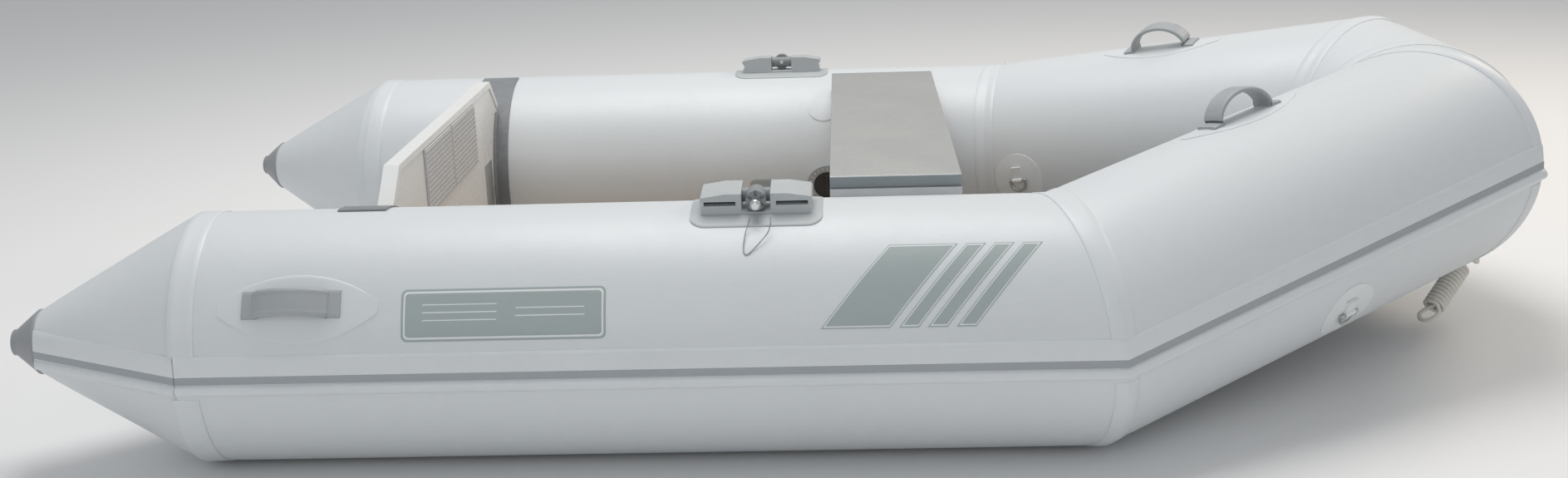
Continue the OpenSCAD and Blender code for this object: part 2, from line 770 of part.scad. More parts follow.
rope_r = 3.5;
hank_top = [1046, -78, 116];
hank_low = [962, -150, 36];
hank_r = 18.5;
hank_gap = 0.5;
LEAD = [[1098, 14, 110], [1097, 5, 109], [1095, -7, 107], [1091, -22, 104], [1086, -36, 103],
        [1077, -50, 108], [1067, -62, 116], [1057, -70, 121], [1046, -78, 116]];
module painter_lead() { color("#e9e7df") cord(smooth(LEAD, 2), rope_r); }

module painter_hank() {
    axis = hank_low - hank_top;
    color("#e9e7df") multmatrix(plane_frame(hank_top, unit(axis))) rotate_extrude() polygon([
        [0, hank_gap], [rope_r, hank_gap], [hank_r - 3, 10], [hank_r, 22], [hank_r, norm(axis) - 10],
        [hank_r - 6, norm(axis)], [0, norm(axis)]]);
}

// ---- valves ----------------------------------------------------------------------------

valve_a = 183;
valve_ring_t = 5;
valve_cap_r = 25.5;
valve_hole_r = 18;
valve_depth = 46;
clamp_r = 34;
clamp_t = 4;
plunger_r = 4;
plunger_gap = 0.08;

module valve_place() {
    on_skin(SIDE, taper_x + valve_x, valve_a) children();
}

module valve_rings() {
    color("#a3a8aa") both() difference() {
        valve_place() difference() {
            translate([0, 0, -12]) cylinder(r = valve_ring_r, h = 12 + valve_ring_t);
            translate([0, 0, -13]) cylinder(r = valve_cap_r + 0.5, h = 14 + valve_ring_t);
        }
        raw_tube(SIDE, 0);
    }
}

module valve_bodies() {
    color("#45484a") both() valve_place() difference() {
        union() {
            translate([0, 0, -valve_depth]) cylinder(r = valve_body_r, h = valve_depth);
            translate([0, 0, -clamp_t - 10]) cylinder(r = clamp_r, h = clamp_t);
        }
        translate([0, 0, -valve_depth + 6]) cylinder(r = valve_hole_r, h = valve_depth);
        translate([0, 0, -valve_depth - 1]) cylinder(r = plunger_r + plunger_gap, h = 8);
        for (k = [0 : 3]) rotate([0, 0, k * 90 + 45]) translate([11, 0, -valve_depth - 1]) cylinder(r = 4, h = 8);
    }
}

module valve_cap_starboard() {
    color("#232527") valve_place() {
        difference() {
            union() {
                translate([0, 0, 0.3]) cylinder(r = valve_cap_r, h = 5);
                translate([0, 0, -7]) cylinder(r = valve_hole_r - 0.3, h = 8);
            }
            translate([0, 0, -8]) cylinder(r = valve_hole_r - 3, h = 10);
        }
        translate([-3, -valve_cap_r + 6, 5]) cube([6, 2 * valve_cap_r - 12, 4]);
    }
}
module valve_cap_port() { port() valve_cap_starboard(); }

module valve_plunger_starboard() {
    color("#d8dadb") valve_place() {
        translate([0, 0, -valve_depth - 12]) cylinder(r = plunger_r, h = 36);
        translate([0, 0, -valve_depth - 14]) cylinder(r = 16, h = 3);
        translate([0, 0, -24]) cylinder(r = 7, h = 6);
    }
}
module valve_plunger_port() { port() valve_plunger_starboard(); }

// ---- rings and patches -----------------------------------------------------------------

patch_t = 1.2;
lash_s = 118;
lash_a = 184;
tow_s = 372;
tow_a = -33;
ring_patch_r = 49;
tab_w = 19;
tab_l = 26;
ring_lift = patch_t + ring_wire_r + 1.4;
tab_wall = 1.4;

// A D: a straight bar, two short legs and a half turn, in the frame's X-Y plane, bar along X.
module d_ring() {
    r = ring_w / 2 + ring_wire_r;
    leg = 5;
    translate([-r, 0, 0]) rotate([0, 90, 0]) cylinder(r = ring_wire_r, h = 2 * r);
    for (s = [-1, 1]) translate([s * r, 0, 0]) {
        sphere(ring_wire_r);
        rotate([90, 0, 0]) cylinder(r = ring_wire_r, h = leg);
    }
    translate([0, -leg, 0]) rotate([0, 0, 180]) rotate_extrude(angle = 180)
        translate([r, 0]) circle(ring_wire_r);
}

module ring_at(i, s, a) { on_skin(i, s, a, ring_lift) children(); }

// A round patch with a webbing tab folded round the ring's bar, above the ring.
module ring_patch(i, s, a, up) {
    wrap(i, s, a, 0, patch_t) circle(ring_patch_r);
    hold_r = ring_wire_r + 0.3;
    difference() {
        ring_at(i, s, a) union() {
            rotate([0, 90, 0]) cylinder(r = hold_r + tab_wall, h = tab_w, center = true);
            translate([-tab_w / 2, up > 0 ? -1 : 1 - tab_l, -ring_lift]) cube([tab_w, tab_l, ring_lift - 0.6]);
        }
        ring_at(i, s, a) rotate([0, 90, 0]) cylinder(r = hold_r, h = tab_w + 2, center = true);
        raw_tube(i, patch_t / 2);
    }
}

module ring_patches() {
    color("#e4e8e9") both() {
        ring_patch(BOW, lash_s, lash_a, -1);
        ring_patch(BOW, tow_s, tow_a, 1);
    }
}
module lashing_ring_starboard() { color("#b9bdbf") ring_at(BOW, lash_s, lash_a) mirror([0, 1, 0]) d_ring(); }
module lashing_ring_port() { port() lashing_ring_starboard(); }
module tow_ring_starboard() { color("#b9bdbf") ring_at(BOW, tow_s, tow_a) d_ring(); }
module tow_ring_port() { port() tow_ring_starboard(); }

// ---- handles ---------------------------------------------------------------------------

bow_handle_s = 378;
bow_handle_a = 97;
bow_handle_h = 42;
stern_handle_x = -729;
stern_handle_a = 31;
stern_handle_h = 24;
handle_foot_l = 16;

// The side view of a strap handle: two feet and an arched grip, of an even thickness.
module handle_side(h) {
    span = handle_l - 2 * handle_foot_l;
    arch = [for (a = [0 : 10 : 180]) [-span / 2 * cos(a), h * sin(a)]];
    rise = (h - handle_t) / h;
    under = [for (a = [180 : -10 : 0]) [-(span / 2 - handle_t) * cos(a), (h - handle_t) * sin(a)]];
    polygon(concat([[-handle_l / 2, 0], [-handle_l / 2, handle_t * 0.5], [-span / 2 - 3, handle_t * 0.8]],
        [for (p = arch) if (p[1] > handle_t * rise) p],
        [[span / 2 + 3, handle_t * 0.8], [handle_l / 2, handle_t * 0.5], [handle_l / 2, 0]],
        [for (p = under) p]));
}

module handle(i, s, a, h) {
    difference() {
        on_skin(i, s, a, patch_t) translate([0, handle_w / 2, 0]) rotate([90, 0, 0])
            linear_extrude(height = handle_w) union() {
                handle_side(h);
                for (e = [-1, 1]) translate([e * (handle_l / 2 - handle_foot_l / 2) - handle_foot_l / 2, -4])
                    square([handle_foot_l, 5]);
            }
        raw_tube(i, patch_t);
    }
}

module bow_handles() { color("#9da2a4") both() handle(BOW, bow_handle_s, bow_handle_a, bow_handle_h); }
module stern_handles() {
    color("#aab0b2") both() handle(SIDE, taper_x + stern_handle_x, stern_handle_a, stern_handle_h);
}

module lens(l, w) {
    r = (l * l / 4 + w * w / 4) / w;
    intersection() {
        translate([0, r - w / 2]) circle(r);
        translate([0, -r + w / 2]) circle(r);
        square([l - 16, w], center = true);
    }
}

module handle_patches() {
    color("#eceff0") both() {
        wrap(BOW, bow_handle_s, bow_handle_a, 0, patch_t) lens(240, 84);
        wrap(SIDE, taper_x + stern_handle_x + 8, stern_handle_a - 1.5, 0, patch_t) lens(236, 94);
    }
}

// ---- decals and small patches ----------------------------------------------------------

decal_t = 0.4;
badge_x = -442;
badge_a = 25.5;
badge_l = 276;
badge_w = 71;
stripes_x = 132;
stripes_a = 35;
stripes_h = 116;
stripes_slant = 94;

module slant_bar(x0, x1) {
    polygon([[x0 - stripes_slant / 2, -stripes_h / 2], [x1 - stripes_slant / 2, -stripes_h / 2],
             [x1 + stripes_slant / 2, stripes_h / 2], [x0 + stripes_slant / 2, stripes_h / 2]]);
}

wide_bar = 92;
thin_bar = 26;
bar_gap = 12;

module side_decals() {
    color("#9aa5a1") both() {
        wrap(SIDE, taper_x + badge_x, badge_a, 0, decal_t) rounded(badge_l, badge_w, 8);
        wrap(SIDE, taper_x + stripes_x, stripes_a, 0, decal_t) {
            slant_bar(-103, -103 + wide_bar);
            for (k = [0 : 2]) slant_bar(-103 + wide_bar + bar_gap + k * (thin_bar + bar_gap),
                                        -103 + wide_bar + (k + 1) * (thin_bar + bar_gap));
        }
    }
}

module inner_patches() {
    color("#a7acae") both() {
        wrap(SIDE, taper_x - 127, 194, 0, patch_t) rounded(78, 96, 10);
        wrap(SIDE, taper_x - 22, 134, 0, patch_t) circle(30);
    }
}

// ---- bow eye ---------------------------------------------------------------------------

eye_r = 13;
eye_wire_r = 3.5;
eye_a = -62;
eye_pad_r = 34;
eye_boss_r = 12;
eye_boss_h = 9;
// The direction out of the nose at the eye, and where the nose's centre line is in that direction.
eye_out = cos(eye_a) * nose_out + sin(eye_a) * cross(nose_out, nose_dir);
eye_s = norm(point - nose) - tube_r * eye_out[1] / nose_dir[1];
eye_spot = corner(point, eye_out, nose_dir, [0, 1, 0], tube_r);
eye_up = atan2(-eye_out[2], eye_out[0]);

// A frame at the eye, with Z out of the nose.
module eye_place() { translate(eye_spot) rotate([0, 90 + eye_up, 0]) children(); }

// A round pad under the nose, with a boss and a fixed eye for the painter.
module bow_eye() {
    color("#8d9193") {
        both() intersection() {
            wrap(NOSE, eye_s, eye_a, 0, patch_t) circle(eye_pad_r);
            behind(point, [0, 1, 0]);
        }
        difference() {
            eye_place() translate([0, 0, -8]) cylinder(r = eye_boss_r, h = 8 + eye_boss_h);
            both() raw_tube(NOSE, patch_t / 2);
        }
        eye_place() translate([0, 0, eye_boss_h + eye_r]) rotate([90, 0, 0])
            rotate_extrude() translate([eye_r, 0]) circle(eye_wire_r);
    }
}

// ---- floor -----------------------------------------------------------------------------

ramp_a = atan((nose_z - tube_r) / bow_run);
crease_x = mitre_x - 10;

module floor_sheet() {
    color("#8a8f92") difference() {
        union() {
            translate([-transom_x - transom_t, -tube_y, floor_z])
                cube([transom_x + transom_t + crease_x, 2 * tube_y, skin_t]);
            translate([crease_x, 0, floor_z]) rotate([0, -ramp_a, 0]) linear_extrude(height = skin_t)
                polygon([[-0.2, -tube_y], [bow_run * 0.5, -(tube_y + nose_y) / 2], [bow_run, -nose_y],
                         [bow_run, nose_y], [bow_run * 0.5, (tube_y + nose_y) / 2], [-0.2, tube_y]]);
        }
        both() {
            raw_tube(SIDE, 0);
            raw_tube(BOW, 0);
            raw_tube(NOSE, 0);
        }
    }
}

slat_z = floor_z + skin_t;
slat_half_l = tube_y - sqrt(tube_r * tube_r - pow(tube_r - slat_z - slat_t, 2)) - 4;
slat_start = -transom_x + 24;
slat_count = floor((crease_x - slat_start) / (slat_w + slat_gap));

module floor_slats() {
    color("#c79a63") for (k = [0 : slat_count - 1])
        translate([slat_start + k * (slat_w + slat_gap), -slat_half_l, slat_z])
            cube([slat_w, 2 * slat_half_l, slat_t]);
}

strap_y = 230;
strap_w = 30;
strap_t = 1.6;

module floor_straps() {
    color("#4b4f52") for (y = [-strap_y, 0, strap_y])
        translate([slat_start + 12, y - strap_w / 2, slat_z + slat_t])
            cube([slat_count * (slat_w + slat_gap) - slat_gap - 24, strap_w, strap_t]);
}

// ---- what is drawn ---------------------------------------------------------------------

side_tube_port();
side_tube_starboard();
tail_cone_port();
tail_cone_starboard();
tail_cap_port();
tail_cap_starboard();
bow_panel_port();
bow_panel_starboard();
nose_panel_port();
nose_panel_starboard();
chamber_baffle();
seam_tapes();
rub_strake_band();
rub_strake_stripe();
rub_strake_bead();
transom_board();
transom_trim();
transom_holders();
motor_pads_inner();
motor_pad_outer();
data_plate();
drain_fitting();
drain_plug();
seat_rails();
seat_board();
seat_end_caps();
seat_channels();
oarlock_pads();
oarlock_base_port();
oarlock_base_starboard();
oarlock_pivot_port();
oarlock_pivot_starboard();
oar_pin_port();
oar_pin_starboard();
pin_lanyard_port();
pin_lanyard_starboard();
valve_rings();
valve_bodies();
valve_cap_port();
valve_cap_starboard();
valve_plunger_port();
valve_plunger_starboard();
ring_patches();
lashing_ring_port();
lashing_ring_starboard();
tow_ring_port();
tow_ring_starboard();
bow_handles();
stern_handles();
handle_patches();
side_decals();
inner_patches();
bow_eye();
painter_lead();
painter_hank();
floor_sheet();
floor_slats();
floor_straps();
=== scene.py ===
"""Finishes an inflatable dinghy: tubes, strake, transom, bench, oarlocks, valves, rings, rope and floor."""

import bmesh
import bpy
import math
import numpy as np
from mathutils import Matrix, Vector


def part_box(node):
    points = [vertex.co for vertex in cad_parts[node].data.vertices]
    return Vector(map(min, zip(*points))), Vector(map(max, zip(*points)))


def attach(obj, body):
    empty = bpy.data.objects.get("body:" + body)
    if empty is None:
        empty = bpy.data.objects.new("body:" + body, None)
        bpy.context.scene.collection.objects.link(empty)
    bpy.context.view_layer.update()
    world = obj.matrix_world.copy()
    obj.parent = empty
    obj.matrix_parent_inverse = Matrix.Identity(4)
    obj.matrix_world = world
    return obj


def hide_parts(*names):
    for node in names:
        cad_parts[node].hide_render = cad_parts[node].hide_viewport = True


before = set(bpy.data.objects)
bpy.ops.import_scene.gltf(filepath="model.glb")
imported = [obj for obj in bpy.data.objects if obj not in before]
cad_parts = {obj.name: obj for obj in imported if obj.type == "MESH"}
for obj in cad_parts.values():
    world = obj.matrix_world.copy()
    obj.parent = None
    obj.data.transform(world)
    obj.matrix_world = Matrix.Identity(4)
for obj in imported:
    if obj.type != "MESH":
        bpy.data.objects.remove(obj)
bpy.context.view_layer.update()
COLLECTION = bpy.context.scene.collection


# ---- camera ----------------------------------------------------------------------------

def make_camera():
    """The camera stands off the starboard side, a little above the tubes."""
    yaw, pitch, roll = -0.0402, -0.2754, -0.0328
    ahead = Vector((math.sin(yaw) * math.cos(pitch), math.cos(yaw) * math.cos(pitch), math.sin(pitch)))
    level = Vector((math.cos(yaw), -math.sin(yaw), 0))
    above = level.cross(ahead)
    right = level * math.cos(roll) + above * math.sin(roll)
    up = above * math.cos(roll) - level * math.sin(roll)
    data = bpy.data.cameras.new("camera")
    data.sensor_fit = "HORIZONTAL"
    data.sensor_width = 36
    data.lens = 38.632
    data.clip_start = 0.05
    data.clip_end = 60
    camera = bpy.data.objects.new("camera", data)
    turn = Matrix((right, up, -ahead)).transposed()
    camera.matrix_world = Matrix.Translation((0.0224, -2.806, 0.9532)) @ turn.to_4x4()
    COLLECTION.objects.link(camera)
    bpy.context.scene.camera = camera


make_camera()


# ---- the hull's frame ------------------------------------------------------------------

def unit(v):
    v = np.asarray(v, float)
    return v / np.linalg.norm(v)


TUBE_R = 0.180
SKIN_T = 0.0012
CONE_L = 0.228
CONE_TIP_R = 0.047
TOE_OUT = math.radians(6.8)
TAIL_LIFT = math.radians(1.4)
STUB_L = 2 * TUBE_R * math.tan(TOE_OUT / 2)
TAIL, SIDE, BOW, NOSE = range(4)

KNEE = np.array([-0.891, -0.520, 0.180])
MITRE = np.array([0.337, -0.520, 0.180])
NOSE_SEAM = np.array([0.930, -0.157, 0.311])
POINT = np.array([0.983, 0.0, 0.290])
TAIL_DIR = np.array([math.cos(TOE_OUT) * math.cos(TAIL_LIFT), math.sin(TOE_OUT) * math.cos(TAIL_LIFT),
                     -math.sin(TAIL_LIFT)])
SIDE_DIR = np.array([1.0, 0, 0])
BOW_DIR = unit(NOSE_SEAM - MITRE)
NOSE_DIR = unit(POINT - NOSE_SEAM)
TIP = KNEE - TAIL_DIR * (CONE_L + STUB_L)


def mirrored_over(n, a, b):
    m = unit(a + b)
    return n - 2 * (n @ m) * m


SIDE_OUT = np.array([0, -1.0, 0])
BOW_OUT = mirrored_over(SIDE_OUT, SIDE_DIR, BOW_DIR)
NOSE_OUT = mirrored_over(BOW_OUT, BOW_DIR, NOSE_DIR)
TAIL_OUT = mirrored_over(SIDE_OUT, SIDE_DIR, TAIL_DIR)
START = [TIP, KNEE, MITRE, NOSE_SEAM, POINT]
DIRS = [TAIL_DIR, SIDE_DIR, BOW_DIR, NOSE_DIR]
OUTS = [TAIL_OUT, SIDE_OUT, BOW_OUT, NOSE_OUT]
CUTS = [TAIL_DIR, unit(TAIL_DIR + SIDE_DIR), unit(SIDE_DIR + BOW_DIR), unit(BOW_DIR + NOSE_DIR),
        np.array([0, 1.0, 0])]
RUN_L = [np.linalg.norm(START[i + 1] - START[i]) for i in range(4)]


def mitre_point(run, stop, u, v):
    """Where the line at (u outwards, v up round) beside run's axis meets the mitre at stop."""
    d, n = DIRS[run], OUTS[run]
    side = u * n + v * np.cross(n, d)
    m = CUTS[stop]
    return START[stop] + side - d * ((side @ m) / (d @ m))


def tip_point(u, v, keep_width):
    if keep_width:
        u = u - (TUBE_R - CONE_TIP_R)
    else:
        r = math.hypot(u, v)
        u, v = u * (r - TUBE_R + CONE_TIP_R) / r, v * (r - TUBE_R + CONE_TIP_R) / r
    return TIP + u * TAIL_OUT + v * np.cross(TAIL_OUT, TAIL_DIR)


def cone_end_point(u, v):
    return TIP + TAIL_DIR * CONE_L + u * TAIL_OUT + v * np.cross(TAIL_OUT, TAIL_DIR)


def skin_frame(run, s, a):
    """Origin on the skin, forwards, up round the tube, outwards; a is in degrees."""
    d, n = DIRS[run], OUTS[run]
    up = np.cross(n, d)
    a = math.radians(a)
    out = math.cos(a) * n + math.sin(a) * up
    tangent = -math.sin(a) * n + math.cos(a) * up
    return START[run] + d * s + out * TUBE_R, d, tangent, out


def on_skin(run, s, a, x, y, lift):
    """A point laid on the skin: x forwards and y round the tube from the spot at s and a."""
    d, n = DIRS[run], OUTS[run]
    up = np.cross(n, d)
    t = math.radians(a) + math.asin(max(-1, min(1, y / TUBE_R)))
    return START[run] + d * (s + x) + (TUBE_R + lift) * (math.cos(t) * n + math.sin(t) * up)


# ---- meshes ----------------------------------------------------------------------------

class Shape:
    """Collects the faces of one piece, with a material index for each."""

    def __init__(self):
        self.verts, self.faces, self.mats, self.uvs = [], [], [], []

    def grid(self, rows, wrap_rows=False, wrap_cols=False, mat=0):
        rows = np.asarray(rows, float)
        nr, nc = rows.shape[:2]
        base = len(self.verts)
        self.verts += [tuple(p) for p in rows.reshape(-1, 3)]
        for i in range(nr if wrap_rows else nr - 1):
            for j in range(nc if wrap_cols else nc - 1):
                i2, j2 = (i + 1) % nr, (j + 1) % nc
                self.faces.append([base + i * nc + j, base + i2 * nc + j, base + i2 * nc + j2,
                                   base + i * nc + j2])
                self.mats.append(mat(i, j) if callable(mat) else mat)
        return base

    def cap(self, indices, mat=0):
        self.faces.append(list(indices))
        self.mats.append(mat)

    def mirror(self):
        n = len(self.verts)
        self.verts += [(x, -y, z) for x, y, z in self.verts]
        self.faces += [[n + k for k in reversed(f)] for f in self.faces]
        self.mats += self.mats

    def build(self, name, materials, sharp=40.0, recalc=True, merge=1e-6):
        mesh = bpy.data.meshes.new(name)
        mesh.from_pydata(self.verts, [], self.faces)
        for m in materials:
            mesh.materials.append(m)
        mesh.polygons.foreach_set("material_index", self.mats)
        tidy_mesh(mesh, sharp, recalc, merge)
        obj = bpy.data.objects.new(name, mesh)
        COLLECTION.objects.link(obj)
        return obj


def tidy_mesh(mesh, sharp, recalc=True, merge=1e-6):
    """Merges doubles, turns faces outwards, and shades smooth but for edges over the sharp angle."""
    bm = bmesh.new()
    bm.from_mesh(mesh)
    if merge:
        bmesh.ops.remove_doubles(bm, verts=bm.verts, dist=merge)
    bmesh.ops.dissolve_degenerate(bm, edges=bm.edges, dist=1e-7)
    if recalc:
        bmesh.ops.recalc_face_normals(bm, faces=bm.faces)
    limit = math.radians(sharp)
    for f in bm.faces:
        f.smooth = True
    for e in bm.edges:
        e.smooth = not (len(e.link_faces) == 2 and e.calc_face_angle(0) > limit)
    bm.to_mesh(mesh)
    bm.free()


def finish_piece(obj, body, slot, *nodes):
    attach(obj, body)
    if nodes:
        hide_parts(*nodes)
    return obj


def refined(node, name, materials, slot, body="hull", bevel=0.0006, sharp=30.0, segments=2):
    """A merged copy of a CAD node with rounded edges."""
    mesh = bpy.data.meshes.new(name)
    bm = bmesh.new()
    bm.from_mesh(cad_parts[node].data)
    bmesh.ops.remove_doubles(bm, verts=bm.verts, dist=2e-6)
    bmesh.ops.dissolve_degenerate(bm, edges=bm.edges, dist=1e-6)
    bmesh.ops.dissolve_limit(bm, angle_limit=math.radians(0.3), verts=bm.verts, edges=bm.edges,
                             delimit=set())
    limit = math.radians(sharp)
    if bevel:
        edges = [e for e in bm.edges if len(e.link_faces) == 2 and e.calc_face_angle(0) > limit]
        bmesh.ops.bevel(bm, geom=edges, offset=bevel, segments=segments, profile=0.5,
                        affect="EDGES", clamp_overlap=True)
    bm.to_mesh(mesh)
    bm.free()
    for m in materials:
        mesh.materials.append(m)
    mesh.polygons.foreach_set("material_index", [0] * len(mesh.polygons))
    tidy_mesh(mesh, 42.0, recalc=False, merge=0)
    obj = bpy.data.objects.new(name, mesh)
    COLLECTION.objects.link(obj)
    weighted = obj.modifiers.new("flat_faces", "WEIGHTED_NORMAL")
    weighted.keep_sharp = True
    return finish_piece(obj, body, slot, node)


# ---- shader groups ---------------------------------------------------------------------

def new_group(name, inputs, outputs):
    tree = bpy.data.node_groups.new(name, "ShaderNodeTree")
    for label, kind, value in inputs:
        socket = tree.interface.new_socket(label, in_out="INPUT", socket_type=kind)
        if value is not None:
            socket.default_value = value
    for label, kind in outputs:
        tree.interface.new_socket(label, in_out="OUTPUT", socket_type=kind)
    return tree, tree.nodes.new("NodeGroupInput"), tree.nodes.new("NodeGroupOutput")


def node(tree, kind, **settings):
    made = tree.nodes.new(kind)
    for key, value in settings.items():
        if key.startswith("in_"):
            made.inputs[key[3:].replace("_", " ")].default_value = value
        else:
            setattr(made, key, value)
    return made


def maths(tree, operation, a, b=None):
    made = tree.nodes.new("ShaderNodeMath")
    made.operation = operation
    for k, value in enumerate((a, b)):
        if value is None:
            continue
        if isinstance(value, (int, float)):
            made.inputs[k].default_value = value
        else:
            tree.links.new(value, made.inputs[k])
    return made.outputs[0]


def mix_colour(tree, factor, a, b):
    made = tree.nodes.new("ShaderNodeMix")
    made.data_type = "RGBA"
    for index, value in ((0, factor), (6, a), (7, b)):
        if hasattr(value, "is_linked"):
            tree.links.new(value, made.inputs[index])
        else:
            made.inputs[index].default_value = value
    return made.outputs[2]


def make_handling_group():
    """Colour and roughness that drift over a surface, with faint smudges and specks."""
    tree, i, o = new_group("handling", [
        ("Vector", "NodeSocketVector", None), ("Clean", "NodeSocketColor", (0.8, 0.8, 0.8, 1)),
        ("Worn", "NodeSocketColor", (0.6, 0.6, 0.6, 1)), ("Patch Size", "NodeSocketFloat", 6.0),
        ("Amount", "NodeSocketFloat", 0.3), ("Gloss", "NodeSocketFloat", 0.4),
        ("Gloss Drift", "NodeSocketFloat", 0.1)],
        [("Color", "NodeSocketColor"), ("Roughness", "NodeSocketFloat"), ("Mask", "NodeSocketFloat")])
    broad = node(tree, "ShaderNodeTexNoise", in_Detail=4.0, in_Roughness=0.55)
    fine = node(tree, "ShaderNodeTexNoise", in_Detail=6.0, in_Roughness=0.7)
    tree.links.new(i.outputs["Vector"], broad.inputs["Vector"])
    tree.links.new(i.outputs["Patch Size"], broad.inputs["Scale"])
    tree.links.new(i.outputs["Vector"], fine.inputs["Vector"])
    tree.links.new(maths(tree, "MULTIPLY", i.outputs["Patch Size"], 9.0), fine.inputs["Scale"])
    blend = maths(tree, "MULTIPLY", broad.outputs["Fac"], fine.outputs["Fac"])
    spread = node(tree, "ShaderNodeMapRange", in_From_Min=0.16, in_From_Max=0.42)
    tree.links.new(blend, spread.inputs["Value"])
    mask = maths(tree, "MULTIPLY", spread.outputs["Result"], i.outputs["Amount"])
    tree.links.new(mix_colour(tree, mask, i.outputs["Clean"], i.outputs["Worn"]), o.inputs["Color"])
    drift = maths(tree, "MULTIPLY", spread.outputs["Result"], i.outputs["Gloss Drift"])
    tree.links.new(maths(tree, "ADD", i.outputs["Gloss"], drift), o.inputs["Roughness"])
    tree.links.new(mask, o.inputs["Mask"])
    return tree


def make_grain_group():
    """The height of a moulded or painted surface: fine pebbles over slow waviness."""
    tree, i, o = new_group("moulded_grain", [
        ("Vector", "NodeSocketVector", None), ("Pebbles", "NodeSocketFloat", 900.0),
        ("Waves", "NodeSocketFloat", 12.0), ("Wave Share", "NodeSocketFloat", 0.3)],
        [("Height", "NodeSocketFloat")])
    pebble = node(tree, "ShaderNodeTexVoronoi", feature="SMOOTH_F1")
    wave = node(tree, "ShaderNodeTexNoise", in_Detail=2.0)
    tree.links.new(i.outputs["Vector"], pebble.inputs["Vector"])
    tree.links.new(i.outputs["Pebbles"], pebble.inputs["Scale"])
    tree.links.new(i.outputs["Vector"], wave.inputs["Vector"])
    tree.links.new(i.outputs["Waves"], wave.inputs["Scale"])
    slow = maths(tree, "MULTIPLY", wave.outputs["Fac"], i.outputs["Wave Share"])
    tree.links.new(maths(tree, "ADD", pebble.outputs["Distance"], slow), o.inputs["Height"])
    return tree


def make_weave_group():
    """The height of a base cloth that shows faintly through its coating."""
    tree, i, o = new_group("coated_weave", [
        ("Vector", "NodeSocketVector", None), ("Threads", "NodeSocketFloat", 220.0),
        ("Slack", "NodeSocketFloat", 0.4)], [("Height", "NodeSocketFloat")])
    total = None
    for axis in ("X", "Y", "Z"):
        band = node(tree, "ShaderNodeTexWave", wave_type="BANDS", bands_direction=axis)
        band.inputs["Distortion"].default_value = 0.4
        tree.links.new(i.outputs["Vector"], band.inputs["Vector"])
        tree.links.new(i.outputs["Threads"], band.inputs["Scale"])
        total = band.outputs["Fac"] if total is None else maths(tree, "ADD", total, band.outputs["Fac"])
    slack = node(tree, "ShaderNodeTexNoise", in_Scale=7.0, in_Detail=2.0)
    tree.links.new(i.outputs["Vector"], slack.inputs["Vector"])
    soft = maths(tree, "MULTIPLY", slack.outputs["Fac"], i.outputs["Slack"])
    tree.links.new(maths(tree, "ADD", maths(tree, "MULTIPLY", total, 0.1), soft), o.inputs["Height"])
    return tree


HANDLING = make_handling_group()
GRAIN = make_grain_group()
WEAVE = make_weave_group()


def finish(name, clean, worn, gloss, amount=0.3, patch=6.0, drift=0.08, relief=None, depth=0.0002,
           strength=0.5, metallic=0.0, coat=0.0, specular=0.5, sheen=0.0, coords="Object", **values):
    """A material: a principled shader fed by the shared groups; relief is one of the height groups."""
    made = bpy.data.materials.new(name)
    made.use_nodes = True
    tree = made.node_tree
    shader = tree.nodes["Principled BSDF"]
    shader.inputs["Metallic"].default_value = metallic
    shader.inputs["Coat Weight"].default_value = coat
    shader.inputs["Coat Roughness"].default_value = 0.15
    shader.inputs["Specular IOR Level"].default_value = specular
    shader.inputs["Sheen Weight"].default_value = sheen
    where = tree.nodes.new("ShaderNodeTexCoord").outputs[coords]
    hand = node(tree, "ShaderNodeGroup", node_tree=HANDLING)
    tree.links.new(where, hand.inputs["Vector"])
    hand.inputs["Clean"].default_value = (*clean, 1)
    hand.inputs["Worn"].default_value = (*worn, 1)
    hand.inputs["Patch Size"].default_value = patch
    hand.inputs["Amount"].default_value = amount
    hand.inputs["Gloss"].default_value = gloss
    hand.inputs["Gloss Drift"].default_value = drift
    tree.links.new(hand.outputs["Color"], shader.inputs["Base Color"])
    tree.links.new(hand.outputs["Roughness"], shader.inputs["Roughness"])
    if relief is not None:
        height = node(tree, "ShaderNodeGroup", node_tree=relief)
        tree.links.new(where, height.inputs["Vector"])
        for key, value in values.items():
            height.inputs[key.replace("_", " ")].default_value = value
        bump = node(tree, "ShaderNodeBump", in_Strength=strength, in_Distance=depth)
        tree.links.new(height.outputs["Height"], bump.inputs["Height"])
        tree.links.new(bump.outputs["Normal"], shader.inputs["Normal"])
    return made


TUBE_CLOTH = finish("tube_cloth", (0.70, 0.73, 0.75), (0.61, 0.64, 0.65), 0.36, 0.22, 5.0, 0.08,
                    WEAVE, 0.0009, 0.35, Threads=180.0, Slack=1.0)
TAPE_CLOTH = finish("tape_cloth", (0.705, 0.735, 0.755), (0.63, 0.66, 0.67), 0.36, 0.2, 8.0, 0.08,
                    WEAVE, 0.0005, 0.3, Threads=180.0, Slack=0.5)
STRAKE_WHITE = finish("strake_white_rubber", (0.72, 0.75, 0.77), (0.60, 0.63, 0.64), 0.33, 0.22, 9.0, 0.1,
                      GRAIN, 0.00015, 0.3, Pebbles=700.0)
STRAKE_GREY = finish("strake_grey_rubber", (0.36, 0.385, 0.41), (0.42, 0.44, 0.46), 0.42, 0.4, 12.0, 0.12,
                     GRAIN, 0.0001, 0.3, Pebbles=900.0)
CAP_RUBBER = finish("cap_rubber", (0.30, 0.31, 0.33), (0.40, 0.41, 0.42), 0.45, 0.45, 30.0, 0.12,
                    GRAIN, 0.0002, 0.4, Pebbles=600.0)
HANDLE_RUBBER = finish("handle_rubber", (0.38, 0.405, 0.42), (0.46, 0.48, 0.50), 0.45, 0.4, 30.0, 0.12,
                       GRAIN, 0.0002, 0.4, Pebbles=700.0)
